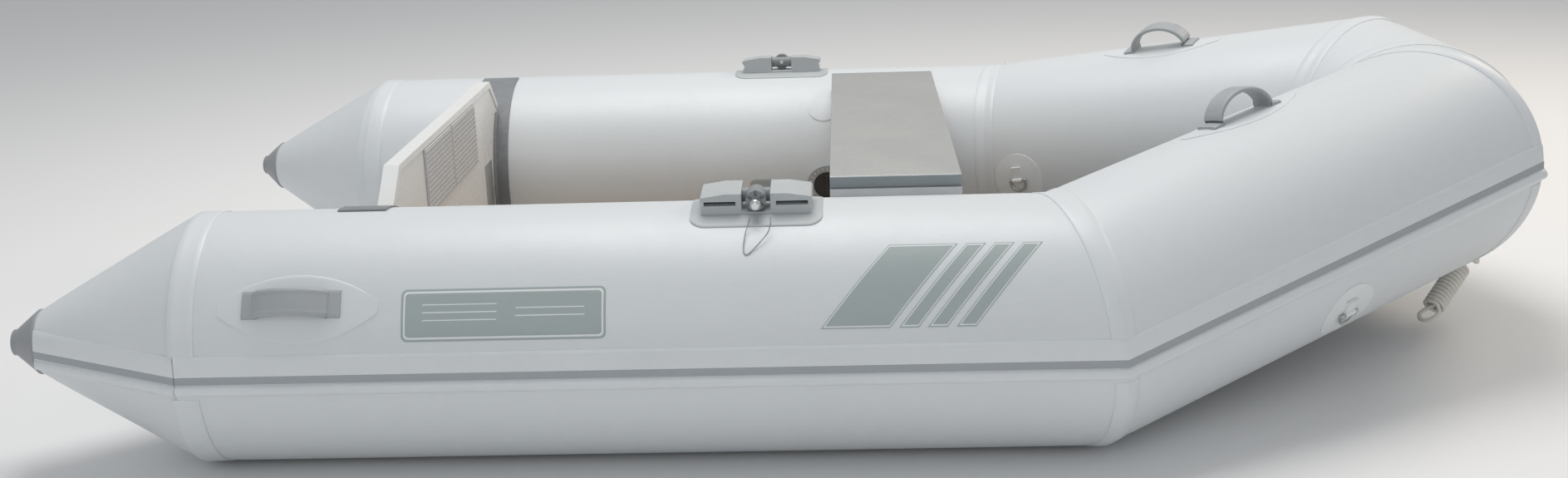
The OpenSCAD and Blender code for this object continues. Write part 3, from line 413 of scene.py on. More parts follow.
BOARD_PAINT = finish("board_paint", (0.84, 0.845, 0.84), (0.76, 0.765, 0.76), 0.26, 0.12, 7.0, 0.1,
                     GRAIN, 0.0003, 0.25, coat=0.3, Pebbles=300.0, Wave_Share=1.2)
TRIM_PLASTIC = finish("trim_plastic", (0.86, 0.87, 0.86), (0.72, 0.73, 0.72), 0.2, 0.2, 14.0, 0.1,
                      GRAIN, 0.0001, 0.2, Pebbles=900.0)
HOLDER_RUBBER = finish("holder_rubber", (0.20, 0.21, 0.225), (0.36, 0.38, 0.39), 0.5, 0.45, 14.0, 0.12,
                       GRAIN, 0.0003, 0.4, Pebbles=500.0)
PAD_PLASTIC = finish("pad_plastic", (0.58, 0.59, 0.60), (0.64, 0.65, 0.66), 0.5, 0.5, 20.0, 0.1,
                     GRAIN, 0.0003, 0.4, Pebbles=400.0)
PLATE_METAL = finish("plate_metal", (0.62, 0.64, 0.65), (0.50, 0.52, 0.53), 0.32, 0.4, 20.0, 0.15,
                     GRAIN, 0.0001, 0.2, metallic=0.9, Pebbles=900.0)
BLACK_PLASTIC = finish("black_plastic", (0.028, 0.029, 0.031), (0.07, 0.07, 0.07), 0.42, 0.4, 40.0, 0.12,
                       GRAIN, 0.0002, 0.35, Pebbles=900.0)
BENCH_METAL = finish("bench_metal", (0.60, 0.60, 0.58), (0.46, 0.46, 0.44), 0.38, 0.35, 9.0, 0.12,
                     GRAIN, 0.0001, 0.25, metallic=0.75, Pebbles=1200.0)
CHANNEL_METAL = finish("channel_metal", (0.50, 0.51, 0.52), (0.40, 0.41, 0.42), 0.35, 0.35, 14.0, 0.12,
                       GRAIN, 0.0001, 0.25, metallic=0.85, Pebbles=1200.0)
END_CAP_PLASTIC = finish("end_cap_plastic", (0.25, 0.28, 0.30), (0.32, 0.35, 0.36), 0.45, 0.4, 30.0, 0.12,
                         GRAIN, 0.0002, 0.4, Pebbles=700.0)
PAD_CLOTH = finish("oarlock_pad_cloth", (0.46, 0.49, 0.50), (0.56, 0.58, 0.59), 0.42, 0.3, 16.0, 0.1,
                   WEAVE, 0.0004, 0.3, Threads=200.0, Slack=0.4)
OARLOCK_PLASTIC = finish("oarlock_plastic", (0.47, 0.50, 0.51), (0.60, 0.62, 0.63), 0.38, 0.35, 22.0, 0.12,
                         GRAIN, 0.0002, 0.35, Pebbles=700.0)
PIVOT_PLASTIC = finish("pivot_plastic", (0.24, 0.26, 0.27), (0.36, 0.38, 0.39), 0.4, 0.4, 40.0, 0.12,
                       GRAIN, 0.0002, 0.35, Pebbles=700.0)
BRIGHT_STEEL = finish("bright_steel", (0.74, 0.75, 0.76), (0.55, 0.56, 0.57), 0.16, 0.3, 40.0, 0.12,
                      GRAIN, 0.00005, 0.2, metallic=1.0, Pebbles=1500.0)
RING_STEEL = finish("ring_steel", (0.58, 0.59, 0.60), (0.42, 0.43, 0.44), 0.24, 0.35, 60.0, 0.14,
                    GRAIN, 0.00005, 0.25, metallic=1.0, Pebbles=1500.0)
WIRE_STEEL = finish("wire_steel", (0.34, 0.35, 0.36), (0.22, 0.23, 0.24), 0.36, 0.4, 90.0, 0.14,
                    GRAIN, 0.0001, 0.3, metallic=0.9, Pebbles=1800.0)
VALVE_PLASTIC = finish("valve_plastic", (0.37, 0.39, 0.40), (0.5, 0.52, 0.53), 0.45, 0.35, 30.0, 0.1,
                       GRAIN, 0.0002, 0.4, Pebbles=800.0)
VALVE_WHITE = finish("valve_white_plastic", (0.75, 0.76, 0.77), (0.62, 0.63, 0.63), 0.4, 0.3, 40.0, 0.1,
                     GRAIN, 0.0001, 0.3, Pebbles=900.0)
TAB_CLOTH = finish("tab_cloth", (0.78, 0.81, 0.82), (0.66, 0.69, 0.69), 0.4, 0.25, 20.0, 0.1,
                   WEAVE, 0.0004, 0.4, Threads=260.0, Slack=0.4)
DECAL_FILM = finish("decal_film", (0.37, 0.425, 0.42), (0.43, 0.48, 0.475), 0.38, 0.3, 12.0, 0.1,
                    WEAVE, 0.0003, 0.2, Threads=180.0, Slack=0.4)
DECAL_PALE = finish("decal_pale_film", (0.78, 0.81, 0.81), (0.70, 0.73, 0.73), 0.36, 0.2, 12.0, 0.1,
                    WEAVE, 0.0003, 0.2, Threads=180.0, Slack=0.4)
PATCH_CLOTH = finish("patch_cloth", (0.38, 0.41, 0.42), (0.47, 0.50, 0.51), 0.42, 0.3, 14.0, 0.1,
                     WEAVE, 0.0004, 0.3, Threads=200.0, Slack=0.4)
FLOOR_CLOTH = finish("floor_cloth", (0.25, 0.27, 0.28), (0.34, 0.36, 0.37), 0.5, 0.4, 7.0, 0.12,
                     WEAVE, 0.001, 0.4, Threads=150.0, Slack=1.2)
STRAP_CLOTH = finish("strap_webbing", (0.07, 0.08, 0.09), (0.13, 0.14, 0.15), 0.75, 0.4, 20.0, 0.1,
                     WEAVE, 0.0006, 0.6, sheen=0.2, Threads=420.0, Slack=0.2)


def make_plywood():
    """Varnished ply: long grain that runs across the boat, with a clear coat."""
    made = bpy.data.materials.new("varnished_ply")
    made.use_nodes = True
    tree = made.node_tree
    shader = tree.nodes["Principled BSDF"]
    shader.inputs["Coat Weight"].default_value = 0.4
    where = tree.nodes.new("ShaderNodeTexCoord").outputs["Object"]
    stretch = node(tree, "ShaderNodeMapping")
    stretch.inputs["Scale"].default_value = (30, 2.2, 30)
    grain = node(tree, "ShaderNodeTexNoise", in_Scale=3.0, in_Detail=8.0, in_Roughness=0.65)
    tree.links.new(where, stretch.inputs["Vector"])
    tree.links.new(stretch.outputs["Vector"], grain.inputs["Vector"])
    colour = mix_colour(tree, grain.outputs["Fac"], (0.62, 0.42, 0.22, 1), (0.40, 0.24, 0.11, 1))
    tree.links.new(colour, shader.inputs["Base Color"])
    gloss = node(tree, "ShaderNodeMapRange", in_To_Min=0.3, in_To_Max=0.5)
    tree.links.new(grain.outputs["Fac"], gloss.inputs["Value"])
    tree.links.new(gloss.outputs["Result"], shader.inputs["Roughness"])
    bump = node(tree, "ShaderNodeBump", in_Strength=0.3, in_Distance=0.0003)
    tree.links.new(grain.outputs["Fac"], bump.inputs["Height"])
    tree.links.new(bump.outputs["Normal"], shader.inputs["Normal"])
    return made


def make_rope():
    """Off-white laid rope; the mesh carries the strands and the material their fibres."""
    made = finish("rope_fibre", (0.82, 0.80, 0.74), (0.62, 0.58, 0.50), 0.85, 0.5, 60.0, 0.08,
                  GRAIN, 0.0004, 0.7, sheen=0.3, Pebbles=1600.0)
    return made


PLYWOOD = make_plywood()
ROPE = make_rope()


# ---- air tubes -------------------------------------------------------------------------

def both_sides(side, make):
    """Builds the starboard piece, or its port copy."""
    shape = make()
    if side == "port":
        shape.verts = [(x, -y, z) for x, y, z in shape.verts]
        shape.faces = [list(reversed(f)) for f in shape.faces]
    return shape


def run_line(run, u, v, steps):
    """Points along run beside its axis, from its first mitre to its last."""
    if run == TAIL:
        a, b, c = tip_point(u, v, False), cone_end_point(u, v), mitre_point(TAIL, SIDE, u, v)
        return [a + (b - a) * t for t in steps[:-1]] + [b, c]
    a, b = mitre_point(run, run, u, v), mitre_point(run, run + 1, u, v)
    return [a + (b - a) * t for t in steps]


def panel(run, around=120):
    """A coated-cloth panel of the tube, drawn in a little where it is glued to the next."""
    steps = [0, 0.0015, 0.012, 0.03, 0.06, *np.linspace(0.1, 0.9, 9), 0.94, 0.97, 0.988, 0.9985, 1]
    pinch = 0.0011

    def shell(grow):
        columns = []
        for k in range(around):
            a = 2 * math.pi * k / around
            u, v = (TUBE_R + grow) * math.cos(a), (TUBE_R + grow) * math.sin(a)
            line = run_line(run, u, v, steps)
            way = math.cos(a) * OUTS[run] + math.sin(a) * np.cross(OUTS[run], DIRS[run])
            for j, p in enumerate(line):
                t = steps[j] if j < len(steps) else 1
                near = math.exp(-(min(t, 1 - t) * RUN_L[run] / 0.022) ** 2)
                line[j] = p - way * pinch * near
            columns.append(line)
        return np.transpose(np.array(columns), (1, 0, 2))

    shape = Shape()
    outer, inner = shell(0.0), shell(-SKIN_T)
    shape.grid(np.concatenate([outer, inner[::-1]]), wrap_rows=True, wrap_cols=True)
    return shape


PANELS = ((TAIL, "tail_cone"), (SIDE, "side_tube"), (BOW, "bow_panel"), (NOSE, "nose_panel"))
for run, stem in PANELS:
    for side in ("starboard", "port"):
        piece = both_sides(side, lambda: panel(run)).build(f"{stem}_{side}_cloth", [TUBE_CLOTH], 50)
        finish_piece(piece, "hull", "tube_fabric", f"{stem}_{side}")


# ---- seam tapes ------------------------------------------------------------------------

TAPE_W, TAPE_T = 0.035, 0.0008
BAND_T, BAND_TOP, BAND_LOW = 0.0015, 9.5, 10.0


def seam_tape(shape, stop, a0, a1):
    """A glued tape over the mitre at stop, between two angles, thin at its edges."""
    across = [(-0.5, -0.001), (-0.5, 0.5), (-0.485, 1), (-0.25, 1), (-0.01, 1.1)]
    across += [(-w, g) for w, g in reversed(across)]
    top = []
    angles = np.radians(np.linspace(a0, a1, 60))
    for a in angles:
        row, low = [], []
        for w, g in across:
            run = stop - 1 if w < 0 else min(stop, NOSE)
            if stop > NOSE and w > 0:
                continue
            r = TUBE_R + g * TAPE_T
            u, v = r * math.cos(a), r * math.sin(a)
            p = mitre_point(run, stop, u, v) + DIRS[run] * (w * TAPE_W / abs(DIRS[run] @ CUTS[stop]))
            row.append(p)
            u, v = (TUBE_R - 0.0006) * math.cos(a), (TUBE_R - 0.0006) * math.sin(a)
            low.append(mitre_point(run, stop, u, v) + DIRS[run] * (w * TAPE_W / abs(DIRS[run] @ CUTS[stop])))
        top.append(row + low[::-1])
    top = np.array(top)
    n = top.shape[1]
    base = shape.grid(top, wrap_cols=True)
    shape.cap([base + k for k in range(n)][::-1])
    shape.cap([base + (len(top) - 1) * n + k for k in range(n)])


def seam_tapes():
    shape = Shape()
    for stop in (SIDE, BOW, NOSE, NOSE + 1):
        for a0, a1 in ((BAND_TOP, 224), (-82, -BAND_LOW)):
            if stop > NOSE and a0 < 0:
                a0 = -44
            seam_tape(shape, stop, a0, a1)
    shape.mirror()
    return shape.build("seam_tape_strips", [TAPE_CLOTH], 50)


finish_piece(seam_tapes(), "hull", "seam_tape", "seam_tapes")


# ---- rub strake ------------------------------------------------------------------------

def strake_rows(section):
    """The section carried along all four runs of the starboard side."""
    rows = []
    for k in range(9):
        t = k / 8
        r_here = CONE_TIP_R + (TUBE_R - CONE_TIP_R) * t
        rows.append([tail_spot(t, *section(r_here, q)) for q in range(section.count)])
    for stop, run in ((SIDE, TAIL), (BOW, SIDE), (NOSE, BOW), (NOSE + 1, NOSE)):
        here = np.array([mitre_point(run, stop, *section(TUBE_R, q)) for q in range(section.count)])
        if stop > NOSE:
            rows.append(list(here))
            continue
        rows.append(list(here - DIRS[run] * 0.012))
        rows.append(list(here))
        rows.append(list(here + DIRS[run + 1] * 0.012))
    return np.array(rows)


def tail_spot(t, u, v):
    return TIP + TAIL_DIR * CONE_L * t + u * TAIL_OUT + v * np.cross(TAIL_OUT, TAIL_DIR)


class Section:
    """A strake section: a function of the tube's radius, and how many points it has."""

    def __init__(self, points):
        self.points, self.count = points, len(points(TUBE_R))

    def __call__(self, r, q):
        return self.points(r)[q]


def flat_strip(g0, g1, v0, v1, lips=()):
    def points(r):
        made = []
        steps = 16
        for k in range(steps + 1):
            v = v0 + (v1 - v0) * k / steps
            g = g1
            for at, wide, high in lips:
                g += high * max(0.0, 1 - ((v - at) / wide) ** 2)
            if k in (0, steps):
                g = g0 + (g1 - g0) * 0.35
            made.append((math.sqrt((r + g) ** 2 - v * v), v))
        for k in range(steps, -1, -1):
            v = v0 + (v1 - v0) * k / steps
            made.append((math.sqrt((r + g0) ** 2 - v * v), v))
        return made
    return Section(points)


BEAD_R, BEAD_SINK, BEAD_A = 0.0085, 0.002, math.radians(5.9)


def bead_section():
    line = TUBE_R + BAND_T - BEAD_SINK
    drop = line * math.sin(BEAD_A)
    open_a = math.acos(BEAD_SINK / BEAD_R)

    def points(r):
        here = r + BAND_T
        low = math.asin(drop / (here - BEAD_SINK))
        wide = math.asin(math.sqrt(BEAD_R ** 2 - BEAD_SINK ** 2) / here)
        made = []
        for k in range(-10, 11):
            t = open_a * k / 10
            made.append(((here - BEAD_SINK) * math.cos(low) + BEAD_R * math.cos(t - low),
                         -(here - BEAD_SINK) * math.sin(low) + BEAD_R * math.sin(t - low)))
        for k in range(6, -7, -1):
            t = wide * 0.98 * k / 6 - low
            made.append(((here - 0.0002) * math.cos(t), (here - 0.0002) * math.sin(t)))
        return made
    return Section(points)


def strake_piece(name, section, material, slot, cad_node):
    shape = Shape()
    rows = strake_rows(section)
    other = rows[::-1].copy()
    other[:, :, 1] *= -1
    full = np.concatenate([rows, other[1:]])
    n = full.shape[1]
    base = shape.grid(full, wrap_cols=True)
    shape.cap([base + k for k in range(n)])
    shape.cap([base + (len(full) - 1) * n + k for k in range(n)][::-1])
    piece = shape.build(name, [material], 35)
    return finish_piece(piece, "hull", slot, cad_node)


def v_at(angle):
    return TUBE_R * math.sin(math.radians(angle))


strake_piece("strake_flat_band", flat_strip(-0.0003, BAND_T, v_at(-BAND_LOW), v_at(BAND_TOP), (
    (v_at(BAND_TOP) - 0.0022, 0.0018, 0.0012), (v_at(BAND_TOP) - 0.0085, 0.001, 0.0004))),
    STRAKE_WHITE, "strake_white", "rub_strake_band")
strake_piece("strake_grey_stripe", flat_strip(BAND_T - 0.0003, BAND_T + 0.0005, v_at(-3.0), v_at(0.5)),
             STRAKE_GREY, "strake_grey", "rub_strake_stripe")
strake_piece("strake_round_bead", bead_section(), STRAKE_WHITE, "strake_white", "rub_strake_bead")


# ---- tail caps -------------------------------------------------------------------------

def tail_cap():
    """A moulded rubber cap: a stepped rim, a short cone and a blunt rounded end."""
    profile = [(0.020, -0.013), (0.036, -0.013), (0.0385, -0.001), (0.0462, -0.001), (0.0470, 0.0006),
               (0.0470, 0.0036), (0.0462, 0.0046)]
    for k in range(9):
        t = k / 8
        profile.append((0.0455 - 0.0265 * t, 0.0054 + 0.0308 * t))
    for k in range(1, 8):
        a = math.radians(40 + 50 * k / 7)
        profile.append((0.0147 + 0.0056 * math.cos(a), 0.0364 + 0.0056 * math.sin(a)))
    profile += [(0.008, 0.0421), (0.0, 0.0422)]
    up = np.cross(TAIL_OUT, TAIL_DIR)
    rows = []
    for r, z in profile:
        rows.append([TIP - TAIL_DIR * z + r * (math.cos(a) * TAIL_OUT + math.sin(a) * up)
                     for a in np.linspace(0, 2 * math.pi, 72, endpoint=False)])
    rows.append([TIP + TAIL_DIR * 0.013 for _ in range(72)])
    shape = Shape()
    order = [len(rows) - 1] + list(range(len(rows) - 1))
    shape.grid(np.array([rows[k] for k in order]), wrap_cols=True)
    return shape


for side in ("starboard", "port"):
    piece = both_sides(side, tail_cap).build(f"tail_cap_{side}_rubber", [CAP_RUBBER], 50)
    finish_piece(piece, "hull", "cap_grey", f"tail_cap_{side}")


# ---- patches on the cloth --------------------------------------------------------------

def laid_patch(shape, run, s, a, outline, x0, x1, lift, under=-0.0004, columns=40, rows=14, mat=0):
    """A patch cut to an outline, outline(x) giving its lower and upper edge, with thin edges."""
    top, low = [], []
    for i in range(columns + 1):
        x = x0 + (x1 - x0) * (0.5 - 0.5 * math.cos(math.pi * i / columns))
        y0, y1 = outline(x)
        row, base = [], []
        for j in range(rows + 1):
            y = y0 + (y1 - y0) * (0.5 - 0.5 * math.cos(math.pi * j / rows))
            edge = i in (0, columns) or j in (0, rows)
            row.append(on_skin(run, s, a, x, y, lift * (0.55 if edge else 1.0)))
            base.append(on_skin(run, s, a, x, y, under))
        top.append(row)
        low.append(base)
    top, low = np.array(top), np.array(low)
    a0 = shape.grid(top, mat=mat)
    b0 = shape.grid(low[::-1], mat=mat)
    nc, nr = rows + 1, columns + 1
    rim = [(i, 0) for i in range(nr)] + [(nr - 1, j) for j in range(1, nc)]
    rim += [(i, nc - 1) for i in range(nr - 2, -1, -1)] + [(0, j) for j in range(nc - 2, 0, -1)]
    for k in range(len(rim)):
        (i, j), (i2, j2) = rim[k], rim[(k + 1) % len(rim)]
        shape.faces.append([a0 + i * nc + j, a0 + i2 * nc + j2, b0 + (nr - 1 - i2) * nc + j2,
                            b0 + (nr - 1 - i) * nc + j])
        shape.mats.append(mat)


def lens_outline(length, width):
    r = (length * length / 4 + width * width / 4) / width

    def outline(x):
        h = math.sqrt(max(0.0, r * r - x * x)) - (r - width / 2)
        return -h, h
    return outline


def rounded_outline(length, width, radius):
    def outline(x):
        over = max(0.0, abs(x) - (length / 2 - radius))
        h = width / 2 - radius + math.sqrt(max(0.0, radius * radius - over * over))
        return -h, h
    return outline


def disc_outline(radius):
    def outline(x):
        h = math.sqrt(max(1e-8, radius * radius - x * x))
        return -h, h
    return outline


KNEE_X = 0.891


def handle_patches():
    shape = Shape()
    laid_patch(shape, BOW, 0.378, 97, lens_outline(0.240, 0.084), -0.112, 0.112, 0.0012)
    laid_patch(shape, SIDE, KNEE_X - 0.721, 29.5, lens_outline(0.236, 0.094), -0.110, 0.110, 0.0012)
    shape.mirror()
    return shape.build("handle_patch_cloth", [TAPE_CLOTH], 50)


finish_piece(handle_patches(), "hull", "tube_fabric", "handle_patches")


def side_decals():
    """A plain grey plate with a pale keyline, and four slanted bars with pale borders."""
    shape = Shape()
    s, a = KNEE_X - 0.442, 25.5
    laid_patch(shape, SIDE, s, a, rounded_outline(0.276, 0.071, 0.008), -0.138, 0.138, 0.0004)
    laid_patch(shape, SIDE, s, a, rounded_outline(0.270, 0.065, 0.006), -0.135, 0.135, 0.0006, mat=1)
    laid_patch(shape, SIDE, s, a, rounded_outline(0.265, 0.060, 0.005), -0.1325, 0.1325, 0.0008)
    for x0, x1, y0, y1 in ((-0.112, -0.006, 0.012, 0.0155), (-0.112, -0.006, 0.0015, 0.005),
                           (-0.112, -0.006, -0.009, -0.0055), (0.014, 0.112, 0.006, 0.0095),
                           (0.014, 0.112, -0.0045, -0.001)):
        laid_patch(shape, SIDE, s, a, lambda x, y0=y0, y1=y1: (y0, y1), x0, x1, 0.00095, mat=1,
                   columns=8, rows=2)
    s, a = KNEE_X + 0.132, 35
    slant, high = 0.094, 0.116

    def bar(x0, x1, inset, lift, mat):
        span = high - 2 * inset
        rows = []
        for j in range(15):
            y = -span / 2 + span * j / 14
            lean = y / high * slant
            rows.append([(x0 + inset + lean + (x1 - x0 - 2 * inset) * i / 6, y) for i in range(7)])
        top = shape.grid(np.array([[on_skin(SIDE, s, a, x, y, lift) for x, y in r] for r in rows]), mat=mat)
        low = shape.grid(np.array([[on_skin(SIDE, s, a, x, y, -0.0004) for x, y in r] for r in rows[::-1]]),
                         mat=mat)
        rim = [(i, 0) for i in range(15)] + [(14, j) for j in range(1, 7)]
        rim += [(i, 6) for i in range(13, -1, -1)] + [(0, j) for j in range(5, 0, -1)]
        for k in range(len(rim)):
            (i, j), (i2, j2) = rim[k], rim[(k + 1) % len(rim)]
            shape.faces.append([top + i * 7 + j, top + i2 * 7 + j2, low + (14 - i2) * 7 + j2,
                                low + (14 - i) * 7 + j])
            shape.mats.append(mat)

    at = -0.103
    for width in (0.092, 0.026, 0.026, 0.026):
        bar(at, at + width, 0.0, 0.0004, 0)
        bar(at, at + width, 0.0016, 0.0006, 1)
        bar(at, at + width, 0.0034, 0.0008, 0)
        at += width + 0.012
    shape.mirror()
    return shape.build("side_decal_film", [DECAL_FILM, DECAL_PALE], 60)


finish_piece(side_decals(), "hull", "decal_grey", "side_decals")


def inner_patches():
    shape = Shape()
    laid_patch(shape, SIDE, KNEE_X - 0.127, 194, rounded_outline(0.078, 0.096, 0.010), -0.039, 0.039, 0.0012)
    laid_patch(shape, SIDE, KNEE_X - 0.022, 134, disc_outline(0.030), -0.0299, 0.0299, 0.0012, mat=1)
    shape.mirror()
    return shape.build("inner_patch_cloth", [PATCH_CLOTH, TAPE_CLOTH], 50)


finish_piece(inner_patches(), "hull", "patch_grey", "inner_patches")


# ---- repeated details ------------------------------------------------------------------

def socket_id(tree, label):
    return next(s.identifier for s in tree.interface.items_tree
                if s.item_type == "SOCKET" and s.in_out == "INPUT" and s.name == label)


def rib_tree():
    """Small rounded ribs set on the points of a mesh, turned to each point's direction."""
    tree = bpy.data.node_groups.new("ribs_on_points", "GeometryNodeTree")
    tree.interface.new_socket("Geometry", in_out="INPUT", socket_type="NodeSocketGeometry")
    for label, value in (("Length", 0.01), ("Width", 0.002), ("Height", 0.001)):
        tree.interface.new_socket(label, in_out="INPUT", socket_type="NodeSocketFloat").default_value = value
    tree.interface.new_socket("Material", in_out="INPUT", socket_type="NodeSocketMaterial")
    tree.interface.new_socket("Geometry", in_out="OUTPUT", socket_type="NodeSocketGeometry")
    links, nodes = tree.links, tree.nodes
    start, end = nodes.new("NodeGroupInput"), nodes.new("NodeGroupOutput")
    size = nodes.new("ShaderNodeCombineXYZ")
    for axis, label in zip("XYZ", ("Length", "Width", "Height")):
        links.new(start.outputs[label], size.inputs[axis])
    block = nodes.new("GeometryNodeMeshIcoSphere")
    block.inputs["Radius"].default_value = 0.5
    block.inputs["Subdivisions"].default_value = 2
    squared = nodes.new("GeometryNodeTransform")
    links.new(block.outputs["Mesh"], squared.inputs["Geometry"])
    links.new(size.outputs["Vector"], squared.inputs["Scale"])
    turn = nodes.new("GeometryNodeInputNamedAttribute")
    turn.data_type = "FLOAT_VECTOR"
    turn.inputs["Name"].default_value = "turn"
    to_rotation = nodes.new("FunctionNodeEulerToRotation")
    links.new(turn.outputs["Attribute"], to_rotation.inputs["Euler"])
    place = nodes.new("GeometryNodeInstanceOnPoints")
    links.new(start.outputs["Geometry"], place.inputs["Points"])
    links.new(squared.outputs["Geometry"], place.inputs["Instance"])
    links.new(to_rotation.outputs["Rotation"], place.inputs["Rotation"])
    real = nodes.new("GeometryNodeRealizeInstances")
    links.new(place.outputs["Instances"], real.inputs["Geometry"])
    paint = nodes.new("GeometryNodeSetMaterial")
    links.new(real.outputs["Geometry"], paint.inputs["Geometry"])
    links.new(start.outputs["Material"], paint.inputs["Material"])
    links.new(paint.outputs["Geometry"], end.inputs["Geometry"])
    return tree


RIBS = rib_tree()


def ribs_at(name, spots, length, width, height, material, body, slot):
    """Places a rib at each spot: (point, direction of its length, direction of its height)."""
    mesh = bpy.data.meshes.new(name + "_points")
    mesh.from_pydata([tuple(p) for p, _, _ in spots], [], [])
    turns = mesh.attributes.new("turn", "FLOAT_VECTOR", "POINT")
    for k, (_, along, up) in enumerate(spots):
        x, z = Vector(along).normalized(), Vector(up).normalized()
        y = z.cross(x).normalized()
        z = x.cross(y)
        turns.data[k].vector = Matrix((x, y, z)).transposed().to_euler()
    carrier = bpy.data.objects.new(name + "_points", mesh)
    COLLECTION.objects.link(carrier)
    modifier = carrier.modifiers.new("ribs", "NODES")
    modifier.node_group = RIBS
    for label, value in (("Length", length), ("Width", width), ("Height", height), ("Material", material)):
        modifier[socket_id(RIBS, label)] = value
    bpy.context.view_layer.update()
    made = bpy.data.meshes.new_from_object(carrier.evaluated_get(bpy.context.evaluated_depsgraph_get()))
    bpy.data.objects.remove(carrier)
    tidy_mesh(made, 60, recalc=False, merge=0)
    piece = bpy.data.objects.new(name, made)
    COLLECTION.objects.link(piece)
    return finish_piece(piece, body, slot)


def with_mirror(spots):
    flip = np.array([1, -1, 1])
    return spots + [(p * flip, a * flip, u * flip) for p, a, u in spots]


# ---- transom ---------------------------------------------------------------------------

refined("transom_board", "transom_board_painted", [BOARD_PAINT], "transom_ply", bevel=0.001)
refined("transom_trim", "transom_trim_channel", [TRIM_PLASTIC], "trim_white", bevel=0.0008, segments=3)
refined("transom_holders", "transom_holder_rubber", [HOLDER_RUBBER], "holder_grey", bevel=0.001)
refined("motor_pads_inner", "motor_pads_inner_ribbed", [PAD_PLASTIC], "pad_grey", bevel=0.0012, segments=3)
refined("motor_pad_outer", "motor_pad_outer_ribbed", [PAD_PLASTIC], "pad_grey", bevel=0.0012, segments=3)
refined("data_plate", "data_plate_blank", [PLATE_METAL], "plate", bevel=0.0002)
refined("drain_fitting", "drain_fitting_moulded", [BLACK_PLASTIC], "black_plastic", bevel=0.0008)
refined("drain_plug", "drain_plug_moulded", [BLACK_PLASTIC], "black_plastic", "drain_plug", bevel=0.0008)


def pad_ribs():
    """A grid of small raised studs over the faces of the motor pads."""
    spots = []
    for side in (-1, 1):
        for i in range(22):
            for j in range(13):
                y = side * 0.095 + (i - 10.5) * 0.0082
                z = 0.320 + (j - 6) * 0.0080
                spots.append((np.array([-0.6540, y, z]), np.array([0, 1.0, 0]), np.array([1.0, 0, 0])))
    for i in range(45):
        for j in range(13):
            spots.append((np.array([-0.6820, (i - 22) * 0.0082, 0.320 + (j - 6) * 0.0080]),
                          np.array([0, 1.0, 0]), np.array([-1.0, 0, 0])))
    ribs_at("motor_pad_studs", spots, 0.0056, 0.0056, 0.0016, PAD_PLASTIC, "hull", "pad_grey")


pad_ribs()


# ---- bench -----------------------------------------------------------------------------

refined("seat_board", "seat_board_brushed", [BENCH_METAL], "bench_alu", "bench", bevel=0.001, segments=3)
refined("seat_end_caps", "seat_end_caps_moulded", [END_CAP_PLASTIC], "end_cap", "bench", bevel=0.0012)
refined("seat_channels", "seat_channels_milled", [CHANNEL_METAL], "channel_alu", "bench", bevel=0.0005)
refined("seat_rails", "seat_rail_webbing", [PATCH_CLOTH], "patch_grey", bevel=0.0004)


# ---- oarlocks --------------------------------------------------------------------------

def oarlock_pads():
    shape = Shape()
    laid_patch(shape, SIDE, KNEE_X - 0.105, 85, rounded_outline(0.184, 0.114, 0.022), -0.092, 0.092, 0.002)
    shape.mirror()
    return shape.build("oarlock_pad_cloth_patch", [PAD_CLOTH], 50)


finish_piece(oarlock_pads(), "hull", "pad_rubber", "oarlock_pads")
for side in ("starboard", "port"):
    refined(f"oarlock_base_{side}", f"oarlock_base_{side}_moulded", [OARLOCK_PLASTIC], "oarlock_grey",
            bevel=0.0016, segments=3)
    refined(f"oarlock_pivot_{side}", f"oarlock_pivot_{side}_moulded", [PIVOT_PLASTIC], "pivot_grey",
            f"oarlock_pivot_{side}", bevel=0.0006)
    refined(f"oar_pin_{side}", f"oar_pin_{side}_polished", [BRIGHT_STEEL], "chrome", f"oar_pin_{side}",
            bevel=0.0006)


# ---- valves ----------------------------------------------------------------------------

refined("valve_rings", "valve_ring_moulded", [VALVE_PLASTIC], "valve_grey", bevel=0.001, segments=3)
refined("valve_bodies", "valve_body_moulded", [BLACK_PLASTIC], "black_plastic", bevel=0)
for side in ("starboard", "port"):
    refined(f"valve_cap_{side}", f"valve_cap_{side}_moulded", [BLACK_PLASTIC], "black_plastic",
            f"valve_cap_{side}", bevel=0.001)
    refined(f"valve_plunger_{side}", f"valve_plunger_{side}_moulded", [VALVE_WHITE], "valve_white",
            f"valve_plunger_{side}", bevel=0)


def valve_ticks():
    """Short raised ticks round the valve's ring."""
    origin, along, round_way, out = skin_frame(SIDE, KNEE_X - 0.017, 183)
    spots = []
    for k in range(24):
        a = 2 * math.pi * k / 24
        way = math.cos(a) * along + math.sin(a) * round_way
        spots.append((origin + out * 0.005 + way * 0.0325, way, out))
    ribs_at("valve_ring_ticks", with_mirror(spots), 0.006, 0.0018, 0.0012, VALVE_WHITE, "hull", "valve_white")


valve_ticks()


# ---- rings, handles and eye ------------------------------------------------------------

refined("ring_patches", "ring_patch_webbing", [TAB_CLOTH], "webbing_white", bevel=0.0003)
for side in ("starboard", "port"):
    for kind in ("lashing_ring", "tow_ring"):
        refined(f"{kind}_{side}", f"{kind}_{side}_wire", [RING_STEEL], "ring_steel", f"{kind}_{side}",
                bevel=0)
refined("bow_eye", "bow_eye_moulded", [CAP_RUBBER], "cap_grey", bevel=0.0006)


def strap_section(w):
    """The strap's section across its width, as the share of its thickness at offset w."""
    edge = min(1.0, (0.019 - abs(w)) / 0.0035)
    bead = 0.0009 * math.exp(-((abs(w) - 0.0145) / 0.0016) ** 2)
    return 0.55 + 0.45 * math.sqrt(max(0.0, 1 - (1 - edge) ** 2)), bead


